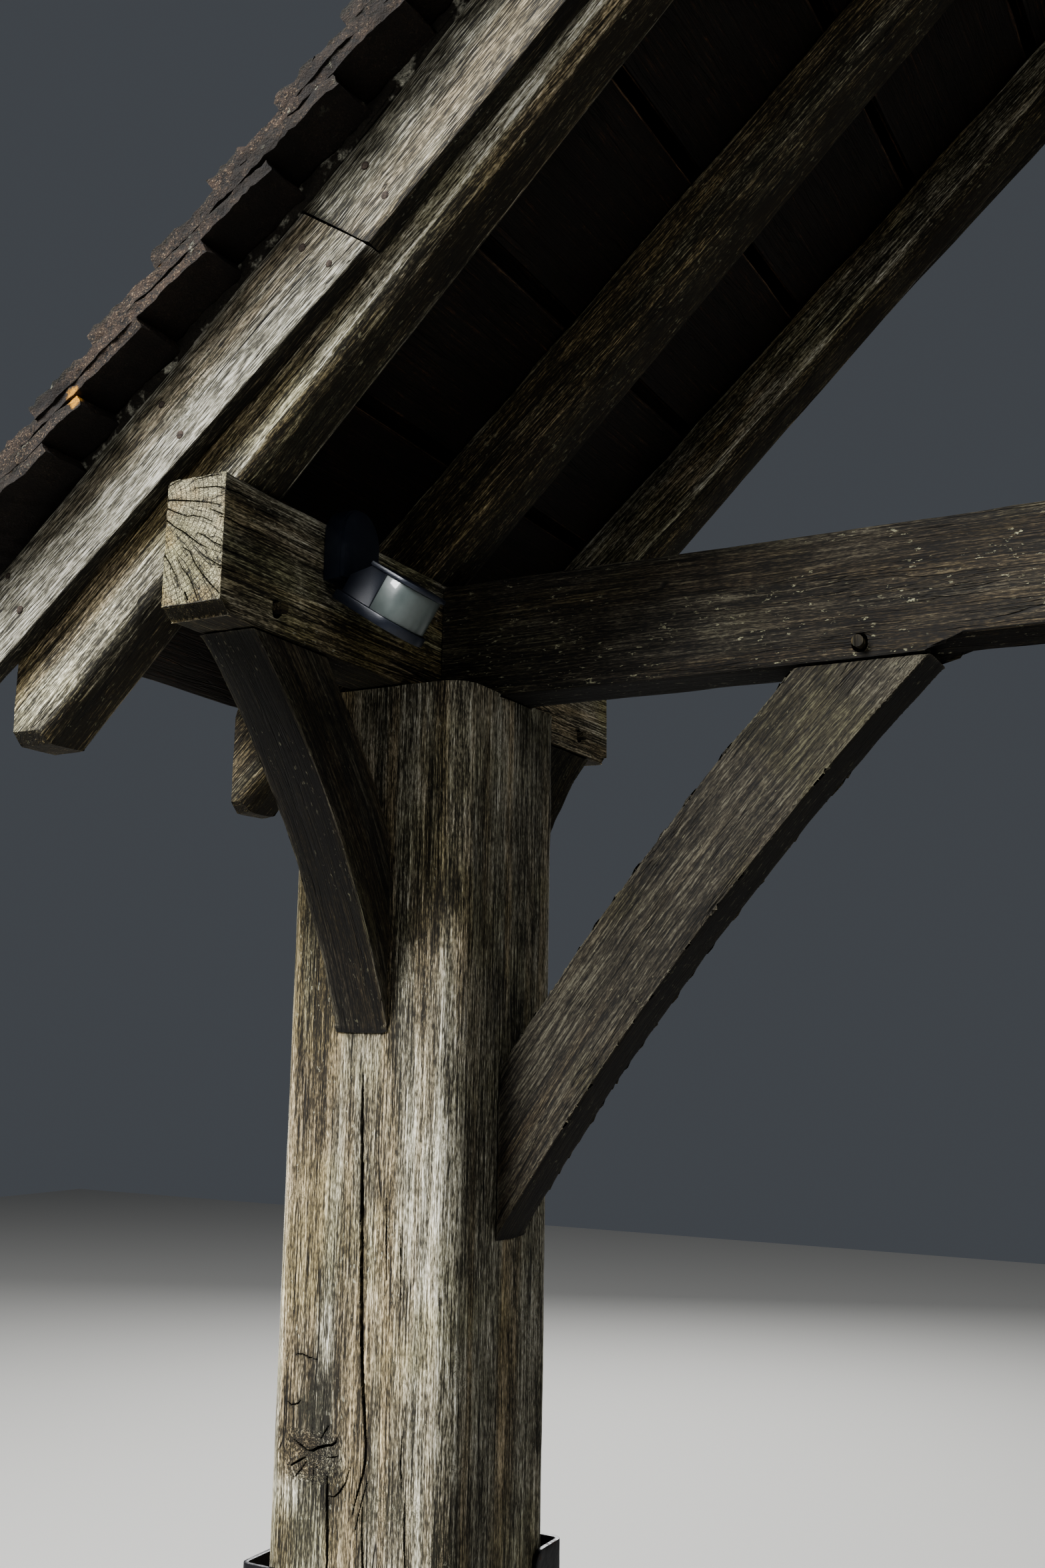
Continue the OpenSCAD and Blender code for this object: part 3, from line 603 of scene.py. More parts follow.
def weatherTimber(node, slot, number, look):
    own, paint = marked.get(node, {}), looks[slot]
    mesh = mergedCopy(node)
    axes = grainAxes(mesh)
    arc = own.get("arc")
    starts, ends = arrises(mesh, axes[2], arc)
    steps = (look["arcStep"],) * 3 if arc else (look["across"], look["across"], look["along"])
    cracks = cutCells(mesh, axes, own, steps)
    points, normals = placed(mesh)
    for e in mesh.edges:
        e.smooth = e.calc_face_angle(0) < timber["sharpAngle"]
    grain, core, up = grainPlaces(points, axes, own)
    piece = islands(mesh)
    grain = grain + np.outer(number + piece * timber["pieceStep"], timber["spread"])

    # How deep the surface is worn: waves, fibres, chipped arrises and cracks
    edge = np.clip(1 - segmentDistance(points, starts, ends) / look["wearWidth"], 0, 1)
    wave = roughNoise(grain / timber["waveSize"], 3, number)
    fibre = roughNoise(grain / timber["fibreSize"], 2, number + 50)
    chip = roughNoise(grain / timber["chipSize"], 3, number + 90)
    chipped = look["wear"] * edge ** 1.5 * (0.25 + 1.4 * chip ** 2)
    depth = look["wave"] * wave + look["fibre"] * fibre + chipped
    crack = 0 * edge
    stainAndShade = spotted(points, own.get("stains", ()))
    if cracks:
        gap, wide = crackGap(points, cracks)
        inside = np.clip(0.3 - gap / timber["crackSoft"], 0, 1)
        deep = timber["crackLeast"] + timber["crackPerWidth"] * wide
        depth = depth + inside * np.minimum(deep, timber["crackMost"])
        crack = np.clip(inside * 1.5 - 0.1, 0, 1)
        stainAndShade = stainAndShade + timber["crackStain"] * np.exp(-np.maximum(gap, 0) / timber["crackStainReach"])

    # How bleached and how stained it is, with painted light and shade: painted shade on faces turned down, at
    # the foot and towards the top where paintedLightUp is below 0, lighter arrises, partly worn and partly a
    # painted highlight, the offsets and spots of each piece, and a tone differing from piece to piece
    shadeBelow = np.clip((-normals[:, 2] - timber["belowFrom"]) / timber["belowOver"], 0, 1)
    foot = np.clip((-up - timber["footFrom"]) / timber["footOver"], 0, 1)
    tide = roughNoise(grain / timber["tideSize"], 3, number + 20) - 0.5
    wash = paint["wash"] + paint["paintedLightUp"] * up + paint["arrisBleachAndHighlight"] * edge + tide * timber["tide"]
    wash = wash - paint["paintedShadeFoot"] * foot - timber["belowPaintedShade"] * shadeBelow
    ownTone = latticeNoise(np.c_[piece, piece, piece] * 1.7 + number * 3.1, 5)
    wash = wash + (ownTone - 0.5) * timber["pieceWash"]
    wash = np.clip(wash + own.get("wash", 0.0) + spotted(points, own.get("washed", ())), 0, 1)
    stainAndShade = np.clip(stainAndShade + timber["belowPaintedShadeStain"] * shadeBelow, 0, 1)
    endFaces = [0.0 if arc else float(abs(f.normal.dot(axes[2])) > timber["endGrain"]) for f in mesh.faces]
    attributes = {"grain": grain, "core": np.c_[core, 0 * edge], "marks": np.c_[edge, crack, stainAndShade],
                  "wash": wash, "end": np.array(endFaces)}
    storeWorn(mesh, node, slot, wood[slot], points - normals * depth[:, None], attributes)


def storeWorn(mesh, node, slot, material, points, attributes):
    for vertex, place in zip(mesh.verts, points):
        vertex.co = place
    mesh.normal_update()
    for face in mesh.faces:
        face.smooth = True
    for e in mesh.edges:
        if e.calc_face_angle(0) > timber["creaseAngle"]:
            e.smooth = False
    data = bpy.data.meshes.new(node + "_worn")
    mesh.to_mesh(data)
    mesh.free()
    for name, values in attributes.items():
        kind, field = ("FLOAT_VECTOR", "vector") if values.ndim == 2 else ("FLOAT", "value")
        domain = "FACE" if name == "end" else "POINT"
        data.attributes.new(name, kind, domain).data.foreach_set(field, np.ascontiguousarray(values).ravel())
    putPiece(data, node + "_worn", slot, material, [node])


def putPiece(data, name, slot, material, nodes=()):
    data.materials.clear()
    data.materials.append(material)
    piece = addObject(name, data)
    if nodes:
        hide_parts(*nodes)
    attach(piece, body)


def onFace(axis, place, path, share):  # a crack on a flat face: two places and a width, in millimetres
    rows = []
    for first, second, width in path:
        row = [first, second]
        row.insert(axis, place)
        rows.append([value / 1000 for value in row] + [width * share / 2000])
    return rows


# What is particular to a timber: its cracks, knots, pith, curve, dark and bleached places, and places of
# painted light and shade
postFace, plateEnd, plateSide = -118, -441, 31.5
postCracks = [
    [(-3, 1660, 1.0), (-2, 1600, 3.6), (1, 1526, 5.4), (4, 1440, 5.0), (6, 1388, 4.6), (9, 1345, 5.2),
     (12.5, 1312, 4.6), (16.5, 1275, 3.4), (16.5, 1262, 3.6), (14, 1248, 3.0), (9, 1232, 2.2), (5, 1218, 1.2),
     (2, 1205, 0.5)],
    [(14.5, 1214, 0.6), (14.5, 1190, 1.3), (17, 1155, 2.2), (18, 1120, 2.4), (17, 1060, 2.8), (19, 960, 3.2),
     (17, 820, 3.0), (20, 640, 2.6), (19, 480, 1.8), (21, 330, 0.6)],
    [(-32, 1238, 1.4), (-31, 1215, 2.6), (-29, 1180, 2.4), (-28, 1148, 1.8), (-29, 1100, 1.2),
     (-28, 1050, 0.5)],
    [(32.5, 1530, 0.5), (33, 1510, 1.3), (34.5, 1475, 1.2), (36, 1445, 0.6)],
    [(51, 1500, 0.5), (53, 1470, 1.1), (55, 1425, 0.5)],
    [(61, 1290, 0.5), (60, 1265, 1.1), (62, 1240, 0.6)],
    [(66, 1225, 0.5), (67, 1190, 1.2), (70, 1150, 1.1), (74, 1085, 0.5)],
    [(-53, 1261, 3.2), (-46, 1265, 3.4), (-37, 1268, 3.4), (-28, 1270, 3.0), (-22, 1274, 1.6),
     (-21, 1279, 0.6)],
    [(-53, 1261, 2.4), (-60, 1261, 2.0), (-67, 1265, 1.6), (-77, 1270, 0.8)],
    [(-61, 1254, 0.8), (-68, 1250, 2.4), (-78, 1244, 1.8), (-80, 1243, 0.6)],
    [(-60, 1249, 0.7), (-66, 1241, 1.2), (-73, 1233, 0.6)],
    [(-50, 1248, 0.6), (-50, 1238, 1.0), (-50, 1227, 0.5)],
    [(-33, 1257, 0.7), (-26, 1258, 1.6), (-19, 1260, 0.7)],
    [(-42, 1275, 0.6), (-35, 1285, 1.5), (-32, 1290, 0.5)],
    [(-31, 1219, 0.6), (-22, 1219, 1.4), (-15, 1225, 1.4), (-8, 1235, 1.1), (-3, 1251, 0.5)],
    [(-78, 1358, 0.6), (-70, 1359, 1.5), (-61, 1356, 1.6), (-50, 1355, 0.5)],
    [(-88, 1308, 0.5), (-82, 1305, 1.3), (-74, 1307, 1.5), (-70, 1311, 0.5)],
    [(20, 1240, 0.5), (12, 1215, 1.2), (6, 1190, 0.6)],
]
plateCracks = [
    [(-42, 2225, 2.6), (-24.5, 2222, 2.8), (-10, 2219, 2.0), (8, 2215, 1.2), (25, 2210, 0.5)],
    [(-41, 2240, 1.6), (-30, 2243, 0.6)], [(-9, 2232, 1.0), (4, 2231, 1.6), (17, 2230, 1.8), (31, 2226, 1.8)],
    [(-8, 2241, 1.0), (6, 2242, 1.4), (21, 2242, 0.6)],
    [(-42, 2216, 1.4), (-30, 2210, 1.6), (-16, 2204, 1.0), (-9, 2204, 1.2), (4, 2200, 1.0), (16, 2194, 0.5)],
    [(11, 2208, 0.7), (20, 2204, 1.6), (31, 2198, 2.0)],
    [(-42.5, 2204, 2.0), (-31, 2195, 2.0), (-22, 2190, 2.4), (-7, 2179, 2.2), (0, 2174, 1.8),
     (11, 2168, 0.6)],
    [(-2, 2185, 0.7), (7, 2181, 1.6), (18, 2173, 1.6), (26, 2169, 1.2), (31, 2166, 1.2)],
    [(2, 2165, 0.6), (9, 2159, 1.3), (19, 2153, 1.6), (31, 2146, 1.8)],
    [(-20, 2173, 0.8), (-10, 2167, 1.4), (-3, 2154, 1.8), (7, 2142, 2.0), (18, 2130, 1.8), (30, 2119, 1.2)],
    [(-26, 2163, 0.7), (-18, 2150, 1.3), (-10, 2142, 1.5), (-4, 2131, 1.3), (4, 2114, 0.8)],
    [(-42.5, 2168, 1.6), (-35, 2158, 1.6), (-26, 2144, 1.0), (-21, 2131, 0.5)],
    [(-14, 2126, 3.4), (-12, 2122, 4.6), (-10, 2118, 3.0)],
]
plateSideCracks = [
    [(-440, 2226, 1.8), (-417, 2228, 1.6), (-398, 2227, 0.6)],
    [(-385, 2222, 0.6), (-372, 2222, 1.3), (-360, 2222, 0.5)],
    [(-440, 2198, 2.0), (-425, 2197, 1.8), (-411, 2196, 1.6), (-393, 2197, 1.3), (-378, 2197, 0.5)],
    [(-440, 2166, 1.2), (-426, 2165, 1.0), (-415, 2166, 0.5)],
    [(-440, 2146, 1.8), (-430, 2146, 1.3), (-417, 2147, 0.5)],
]
marked = {
    "post_left": {
        "cracks": [onFace(1, postFace, crack, 1.0 if crack[-1][1] < 1100 else 0.65) for crack in postCracks],
        "crackCells": 0.0012, "pith": (0.01, 0.02, 1.0),
        "knots": [{"middle": (-0.052, -0.118, 1.256), "radius": 0.027}],
        "stains": [((-0.050, -0.118, 1.300), (0.026, 0.02, 0.022), 0.8),
                   ((-0.040, -0.118, 1.330), (0.022, 0.02, 0.014), 0.5),
                   ((-0.052, -0.118, 1.256), (0.026, 0.02, 0.024), 0.35),
                   ((0.116, -0.116, 1.16), (0.02, 0.02, 0.07), 0.9),
                   ((-0.030, -0.118, 1.215), (0.02, 0.02, 0.03), 0.3),
                   ((0.045, -0.118, 1.225), (0.03, 0.02, 0.035), 0.35)],
        # The long strip along the left arris is a painted highlight and the wide dark patch high up is
        # painted shade; the other three change the tone in small patches.
        "washed": [((-0.115, -0.118, 1.3), (0.012, 0.03, 2.0), 0.35),
                   ((-0.085, -0.118, 1.215), (0.02, 0.02, 0.03), 0.4),
                   ((0.06, -0.118, 1.52), (0.05, 0.02, 0.12), 0.2),
                   ((0.0, -0.118, 1.83), (0.16, 0.03, 0.26), -0.24),
                   ((-0.085, -0.118, 1.16), (0.05, 0.02, 0.15), -0.22)]},
    "wall_plate_left": {
        "cracks": [onFace(1, plateEnd, crack, 0.26) for crack in plateCracks]
                  + [onFace(0, plateSide, crack, 0.6) for crack in plateSideCracks],
        "crackCells": 0.0009, "pith": (-0.060, 0.0, 2.222),
        # The end a little lighter, and the side turned away darker, which is painted shade.
        "washed": [((0.0, -0.441, 2.17), (0.2, 0.01, 0.2), 0.12),
                   ((0.035, -0.3, 2.17), (0.008, 0.4, 0.1), -0.12)]},
    # Offsets and spots of wash: the front rafters lighter, with a painted highlight over the upper face of
    # the front left one, and the rear and middle rafters and the upper barge boards darker, all of it painted
    # light and shade.
    "rafter_front_left": {"wash": 0.14, "washed": [((0.75, -0.405, 3.0), (0.9, 0.02, 0.75), 0.55)]},
    "rafter_front_right": {"wash": 0.2}, "rafter_rear_left": {"wash": -0.1},
    "rafter_middle_left": {"wash": -0.45}, "rafter_middle_right": {"wash": -0.45},
    "barge_front_left_upper": {"wash": -0.12}, "barge_front_right_upper": {"wash": -0.12},
    "tie_brace_left": {"arc": {"plane": [0, 2], "middle": (3.1157, -0.4251)}},
    "tie_brace_right": {"arc": {"plane": [0, 2], "middle": (-1.1797, -0.4251)}},
    **{f"plate_brace_{side}_{end}": {"arc": {"plane": [1, 2], "middle": (away, 1.3592)}}
       for side in ("left", "right") for end, away in (("front", -1.0527), ("rear", 1.0527))},
}
fineTimber = {"across": 0.0042, "along": 0.018, "arcStep": 0.006, "wave": 0.0022, "fibre": 0.0008,
              "wear": 0.0032, "wearWidth": 0.008}
plainTimber = {**fineTimber, "across": 0.008, "along": 0.035, "arcStep": 0.009}
slotOf = {row["node"]: row["material_slot"] for row in frame["record"]["subparts"]}
timbers = [node for node in frame["nodes"] if slotOf[node] in wood]
for number, node in enumerate(timbers):  # fine cells where the photograph's view comes close
    seen = "front_left" in node or node in ("post_left", "wall_plate_left", "tie_beam", "tie_brace_left")
    weatherTimber(node, slotOf[node], number, fineTimber if seen else plainTimber)
count = sum(len(p.data.polygons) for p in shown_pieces())
print("timbers weathered:", len(timbers), "faces", count)


# The roof's own lines, in metres: s runs down the slope from the ridge line and n square to it
roof = {"pitch": math.radians(42), "halfSpan": 0.968, "ridgeGap": 0.006, "plateLine": 2.245,
        "plateIn": 0.9455, "tileThick": 0.014, "tileLong": 0.255, "gauge": 0.100, "batten": 0.038,
        "tilesUp": 0.152, "mortar": 0.008, "eavesOut": 0.342, "eavesLift": 0.014, "jointIn": 0.098,
        "liftOver": 0.05, "verge": 0.484, "courses": 17, "tilesAcross": 6}
lineHeight = roof["plateLine"] + roof["plateIn"] * math.tan(roof["pitch"])

# Tiles: turn is in radians per metre of wobble, dents, grit and lumps are waves per metre, the rest is metres
tiles = {"gap": 0.002, "hump": 0.0015, "wobble": 0.004, "turn": 3.0, "chip": 0.0022, "dents": 28.0,
         "grit": 140.0, "crust": 0.010, "lumps": 95.0, "crustFrom": 0.10, "crustFull": 0.02,
         "cutsLong": 40, "cutsAcross": 16, "cutsThick": 5, "sharpAngle": math.radians(40),
         "orangeSpot": (-0.137, -0.484, 2.336)}


def slopeS(u, n):
    return (u - n * math.sin(roof["pitch"])) / math.cos(roof["pitch"])


tilt = math.asin(roof["tileThick"] / roof["gauge"])
tileRun = roof["tileLong"] * math.cos(tilt)
tileRise = roof["tileLong"] * math.sin(tilt)
tileStep = roof["tileThick"] / math.cos(tilt)
bargeTop = roof["tilesUp"] - roof["mortar"]
eavesS = slopeS(roof["halfSpan"] + roof["eavesOut"], roof["tilesUp"] + roof["eavesLift"] + tileRise)
jointS = slopeS(roof["halfSpan"] - roof["jointIn"], bargeTop)
topS = slopeS(roof["ridgeGap"], bargeTop)
eavesBend = roof["eavesLift"] / (eavesS - jointS)
eavesLong = roof["tileLong"] - roof["gauge"] + roof["batten"]  # the short tiles under the lowest course


# Plain tiles in courses. Every other course has a tile and a half at each verge.
def tileTree(material):
    g = Growth("tile courses", {
        "Courses": roof["courses"], "Tail": eavesS, "Long": roof["tileLong"], "Raise": 0.0, "Left": True,
        "Verge tiles": True, "Cuts long": 8, "Cuts across": 5, "Cuts thick": 2, "Wobble": tiles["wobble"],
        "Chip": tiles["chip"], "Crust": tiles["crust"], "Seed": 0, "Material": material})
    pitch, across = roof["pitch"], roof["tilesAcross"]
    tileWide = 2 * roof["verge"] / across
    long = g.get("Long")
    line = g.add("GeometryNodeMeshLine", None, {"Count": g.get("Courses") * float(across)})
    index = g.add("GeometryNodeInputIndex")
    course = g.floor((index + 0.5) / float(across))
    column = index - course * float(across)
    odd = course - g.floor(course / 2.0 + 0.01) * 2.0
    first, last = g.equal(column, 0.0), g.equal(column, across - 1.0)
    oddLast = g.equal(column, across - 2.0) * odd
    spare = last * odd  # the wide tile before it reaches the verge
    atVerge = first + last + oddLast
    wide = 1.0 + (first + oddLast) * odd * 0.5
    place = (column + 0.5) + odd * (0.5 + oddLast * 0.25 - first * 0.25)

    run = long * math.cos(tilt)
    tail = g.get("Tail") - course * roof["gauge"]
    head = tail - run
    shortHead = g.most(head, topS)
    lift = g.most(shortHead - jointS, 0.0) * eavesBend
    n = roof["tilesUp"] + lift + (shortHead - head) * math.tan(tilt) + g.get("Raise")
    slip = g.random(-1.0, 1.0, g.get("Seed")) * g.get("Wobble")
    s = shortHead + slip
    n = n + g.random(0.0, 0.4, g.get("Seed") + 1.0) * g.get("Wobble")
    u = s * math.cos(pitch) + n * math.sin(pitch)
    z = lineHeight - s * math.sin(pitch) + n * math.cos(pitch)
    side = 1.0 - g.get("Left") * 2.0
    spot = g.xyz(roof["halfSpan"] + side * u, place * tileWide - roof["verge"], z)
    points = g.add("GeometryNodeSetPosition", None, {"Geometry": line, "Position": spot})
    turn = g.random(-1.0, 1.0, g.get("Seed") + 2.0) * g.get("Wobble") * tiles["turn"]
    roll = g.random(-0.4, 0.4, g.get("Seed") + 3.0) * g.get("Wobble") * tiles["turn"]
    liftTilt = g.rise(tail, jointS, jointS + roof["liftOver"]) * math.atan(eavesBend)
    angle = pitch - tilt - liftTilt + roll
    points = g.store(points, "tone", g.random(0.0, 1.0, g.get("Seed") + 4.0))
    wanted = g.equal(atVerge, g.get("Verge tiles")) * (1.0 - spare)

    # One tile, a little humped along its length
    size = g.xyz(long, tileWide - tiles["gap"], roof["tileThick"])
    tile = g.add("GeometryNodeMeshCube", None, {
        "Size": size, "Vertices X": g.get("Cuts long"), "Vertices Y": g.get("Cuts across"),
        "Vertices Z": g.get("Cuts thick")})
    where = g.add("GeometryNodeInputPosition")
    x, toVerge, z = g.parts(where)
    hump = (1.0 - (x / long * 2.0) ** 2.0) * tiles["hump"]
    tile = g.store(g.store(tile, "down", x / long + 0.5), "under", 0.5 - z / roof["tileThick"])
    tile = g.move(tile, g.xyz(long * 0.5, 0.0, hump + roof["tileThick"] / 2))
    scale = g.xyz((tail - shortHead) / run, wide, 1.0)
    turns = g.xyz(0.0, angle, math.pi * g.get("Left") + turn)
    turned = g.add("FunctionNodeEulerToRotation", None, {0: turns})
    laid = g.add("GeometryNodeInstanceOnPoints", None, {
        "Points": points, "Selection": wanted, "Instance": tile, "Scale": scale, "Rotation": turned})
    laid = g.add("GeometryNodeRealizeInstances", None, {"Geometry": laid})

    # Chipped and uneven faces, from a noise that differs on every tile
    spread = g.stored("tone")
    spin = g.shifted(where, g.xyz(spread * 7.0, spread * 3.0, 0.0))
    middle = (-0.5, -0.5, -0.5)
    dents = g.times(g.shifted(g.noise(spin, tiles["dents"], 3.0, 0.5, out=1), middle), g.get("Chip") * 4.0)
    grit = g.times(g.shifted(g.noise(spin, tiles["grit"], 2.0, 0.5, out=1), middle), g.get("Chip") * 2.0)
    laid = g.move(laid, g.shifted(dents, grit))

    # A crust on the upper face towards the verges, raised in lumps
    onTop = 1.0 - g.rise(g.stored("under"), 0.1, 0.5)
    bare = g.rise(g.stored("down"), 0.64, 0.74)
    nearVerge = g.rise(abs(toVerge), roof["verge"] - tiles["crustFrom"], roof["verge"] - tiles["crustFull"])
    lumps = g.rise(g.noise(spin, tiles["lumps"], 4.0, 0.75), 0.38, 0.72)
    crust = lumps * onTop * bare * nearVerge * g.get("Crust")
    laid = g.move(laid, g.xyz(side * crust * math.sin(pitch), 0.0, crust * math.cos(pitch)))
    return g.finish(laid)


def joined(name, meshes):  # one mesh from several
    whole = bmesh.new()
    for part in meshes:
        whole.from_mesh(part)
    data = bpy.data.meshes.new(name)
    whole.to_mesh(data)
    whole.free()
    return data


def clayTile():
    p = Paint("clay_tile")
    tone, under, down = p.mark("tone", "Fac"), p.mark("under", "Fac"), p.mark("down", "Fac")
    place = p.place()
    blotch = p.noise(place, 15.0, 4.0, 0.65)
    grit = p.noise(place, 430.0, 3.0, 0.75)
    speck = p.noise(place, 150.0, 3.0, 0.7)
    colour = p.mix(p.rise(blotch, 0.38, 0.62), (0.008, 0.005, 0.003), (0.034, 0.021, 0.013))
    colour = p.mix(tone * 0.5, colour, (0.016, 0.013, 0.010))
    colour = p.mix((1.0 - p.rise(speck, 0.40, 0.52)) * 0.9, colour, (0.004, 0.003, 0.0025))
    colour = p.mix(p.rise(grit, 0.55, 0.66) * p.rise(blotch, 0.40, 0.55) * 0.85, colour, (0.17, 0.125, 0.080))
    top = 1.0 - p.rise(under, 0.05, 0.35)
    grime = p.rise(p.noise(place, 24.0, 4.0, 0.7) + down * 0.12, 0.50, 0.62) * top
    colour = p.mix(grime * 0.75, colour, (0.008, 0.008, 0.005))
    crust = p.rise(p.noise(place, 70.0, 4.0, 0.7), 0.60, 0.68) * p.rise(p.noise(place, 8.0, 2.0), 0.46, 0.58)
    colour = p.mix(crust * (0.35 + top * 0.4), colour, (0.30, 0.30, 0.23))
    x, y, z = p.parts(p.shifted(place, [-value for value in tiles["orangeSpot"]]))
    apart = (x * x + y * y + z * z) ** 0.5 + (speck - 0.5) * 0.012
    rare = p.rise(p.noise(place, 19.0, 3.0, 0.6), 0.735, 0.75) * top
    gold = p.most(1.0 - p.rise(apart, 0.008, 0.013), rare)
    colour = p.mix(gold * (0.45 + grit), colour, (0.36, 0.185, 0.03))
    # Painted shade: the tiles' undersides much darker
    colour = p.mix(p.rise(under, 0.80, 1.0) * 0.75, colour, (0.011, 0.008, 0.006))
    return p.finish(colour, 0.9, grit * 0.5 + speck * 0.6 + blotch * 0.4 + crust * 0.4, 0.003)


clay = clayTile()
tiler = tileTree(clay)
for side, seed in (("left", 10), ("right", 40)):
    plain = {"Verge tiles": False, "Left": side == "left", "Seed": seed}
    fine = {**plain, "Verge tiles": True, "Cuts long": tiles["cutsLong"], "Cuts across": tiles["cutsAcross"],
            "Cuts thick": tiles["cutsThick"]}
    raised = (tileRun - eavesLong * math.cos(tilt)) * math.tan(tilt) - tileStep
    under = {"Courses": 1, "Long": eavesLong, "Raise": raised}
    changes = [fine, plain, {**fine, **under}, {**plain, **under}]
    data = joined("tiles_" + side + "_laid", [tiler.make("tiles", change) for change in changes])
    data.shade_smooth()
    data.set_sharp_from_angle(angle=tiles["sharpAngle"])
    putPiece(data, "tiles_" + side + "_laid", "clay_tile", clay, ["tiles_" + side])
    print("tiles laid:", side, len(data.polygons), "faces")


# What isn't timber or tile: copies of the CAD's pieces with rounded edges or a broken surface
copied = {"segments": 2, "profile": 0.6, "gritShare": 0.22, "under": 0.9}


def brokenUp(mesh, cells):  # halves the edges until they are short
    for _ in range(9):
        long = [e for e in mesh.edges if e.calc_length() > cells * coarse]
        if not long:
            break
        halved(mesh, long)


def roughCopy(node, slot, material, look, seed):
    mesh = mergedCopy(node)
    if look["bevel"]:
        sharp = [e for e in mesh.edges if e.calc_face_angle(0) > timber["arrisAngle"]]
        bmesh.ops.bevel(mesh, geom=sharp, offset=look["bevel"], offset_type="OFFSET", affect="EDGES",
                        segments=copied["segments"], profile=copied["profile"], clamp_overlap=True)
    if look["cells"]:
        brokenUp(mesh, look["cells"])
    points, normals = placed(mesh)
    lumps = roughNoise(points / look["lumpSize"], 4, seed) - 0.5
    grit = roughNoise(points / (look["lumpSize"] * copied["gritShare"]), 2, seed + 9) - 0.5
    points = points + normals * (look["lumps"] * lumps + look["grit"] * grit)[:, None]
    number = islands(mesh)
    tone = latticeNoise(np.c_[number, number, number] * 2.3 + seed, 3)
    # faces turned down, which the clay tile's paint darkens as painted shade
    under = copied["under"] * (normals[:, 2] < -timber["belowFrom"])
    storeWorn(mesh, node, slot, material, points, {"tone": tone, "under": under})


def limeMortar():
    p = Paint("lime_mortar")
    place = p.place()
    blotch = p.noise(place, 26.0, 4.0, 0.68)
    grit = p.noise(place, 330.0, 3.0, 0.7)
    colour = p.mix(p.rise(blotch, 0.54, 0.64), (0.020, 0.017, 0.012), (0.24, 0.235, 0.195))
    colour = p.mix(p.rise(grit, 0.52, 0.66) * 0.4, colour, p.times(colour, 2.6))
    colour = p.mix((1.0 - p.rise(grit, 0.34, 0.46)) * 0.8, colour, (0.014, 0.012, 0.009))
    return p.finish(colour, 0.92, grit + blotch * 0.5, 0.003)


def blackIron():
    p = Paint("black_iron")
    place = p.place()
    rust = p.rise(p.noise(place, 55.0, 4.0, 0.7), 0.56, 0.70)
    colour = p.mix(rust * 0.6, (0.0085, 0.0085, 0.010), (0.105, 0.045, 0.018))
    return p.finish(colour, 0.38 + rust * 0.35, p.noise(place, 90.0, 3.0, 0.6) + rust * 0.4, 0.0008)


def satinPlastic():
    p = Paint("lamp_plastic")
    haze = p.noise(p.place(), 40.0, 3.0, 0.6)
    colour = p.mix(p.rise(haze, 0.45, 0.75) * 0.5, (0.013, 0.017, 0.028), (0.040, 0.045, 0.055))
    return p.finish(colour, 0.30 + haze * 0.2, p.noise(p.place(), 900.0, 1.0), 0.0001)


def frostedLens():
    p = Paint("lamp_glass")
    haze = p.noise(p.place(), 60.0, 3.0, 0.6)
    colour = p.mix(haze, (0.075, 0.092, 0.090), (0.125, 0.145, 0.140))
    return p.finish(colour, 0.28 + haze * 0.2, haze, 0.0002, Coat_Weight=0.4)


# Sizes of the rounded edges, the cells and the broken surface. The longest start of a node's name counts.
ridgeLook = {"bevel": 0.002, "cells": 0.010, "lumps": 0.006, "grit": 0.003, "lumpSize": 0.04}
mortarLook = {"bevel": 0.0, "cells": 0.011, "lumps": 0.009, "grit": 0.004, "lumpSize": 0.030}
ironLook = {"bevel": 0.0012, "cells": 0.012, "lumps": 0.0010, "grit": 0.0004, "lumpSize": 0.03}
smoothLook = {"bevel": 0.0016, "cells": 0, "lumps": 0.0, "grit": 0.0, "lumpSize": 0.03}
others = {
    "ridge_tiles": ("clay_tile", clay, ridgeLook),
    "ridge_mortar": ("lime_mortar", limeMortar(), mortarLook),
    "iron_band": ("black_iron", blackIron(), ironLook),
    "lamp_glass": ("lamp_glass", frostedLens(), {**smoothLook, "bevel": 0.0015}),
    "lamp_": ("lamp_plastic", satinPlastic(), smoothLook),
}
others["verge_mortar"] = others["ridge_mortar"]
for number, node in enumerate(frame["nodes"]):
    starts = [start for start in others if node.startswith(start)]
    if starts:
        slot, material, look = others[max(starts, key=len)]
        roughCopy(node, slot, material, look, number)
print("mortar, ridge, bands and lamp made")


# Nails in pairs along the barge boards, each at its place down the slope and square to it. On three of the
# four boards they are a little off these places. A head's rings are shares of its radius and its height.
nails = {"head": 0.0042, "proud": 0.0010, "face": 0.431, "sunk": 0.0012, "slip": 0.004, "seed": 7,
         "sizes": (0.85, 1.15), "sides": 12, "rings": ((1.0, 0.0), (0.92, 0.45), (0.55, 0.85)),
         "pairs": [(0.966, 0.114), (0.973, 0.069), (1.065, 0.111), (1.057, 0.070), (1.279, 0.127),
                   (1.284, 0.081), (1.532, 0.146), (1.543, 0.102), (0.640, 0.112), (0.648, 0.072),
                   (0.310, 0.114), (0.304, 0.070), (0.060, 0.110), (0.066, 0.074)]}


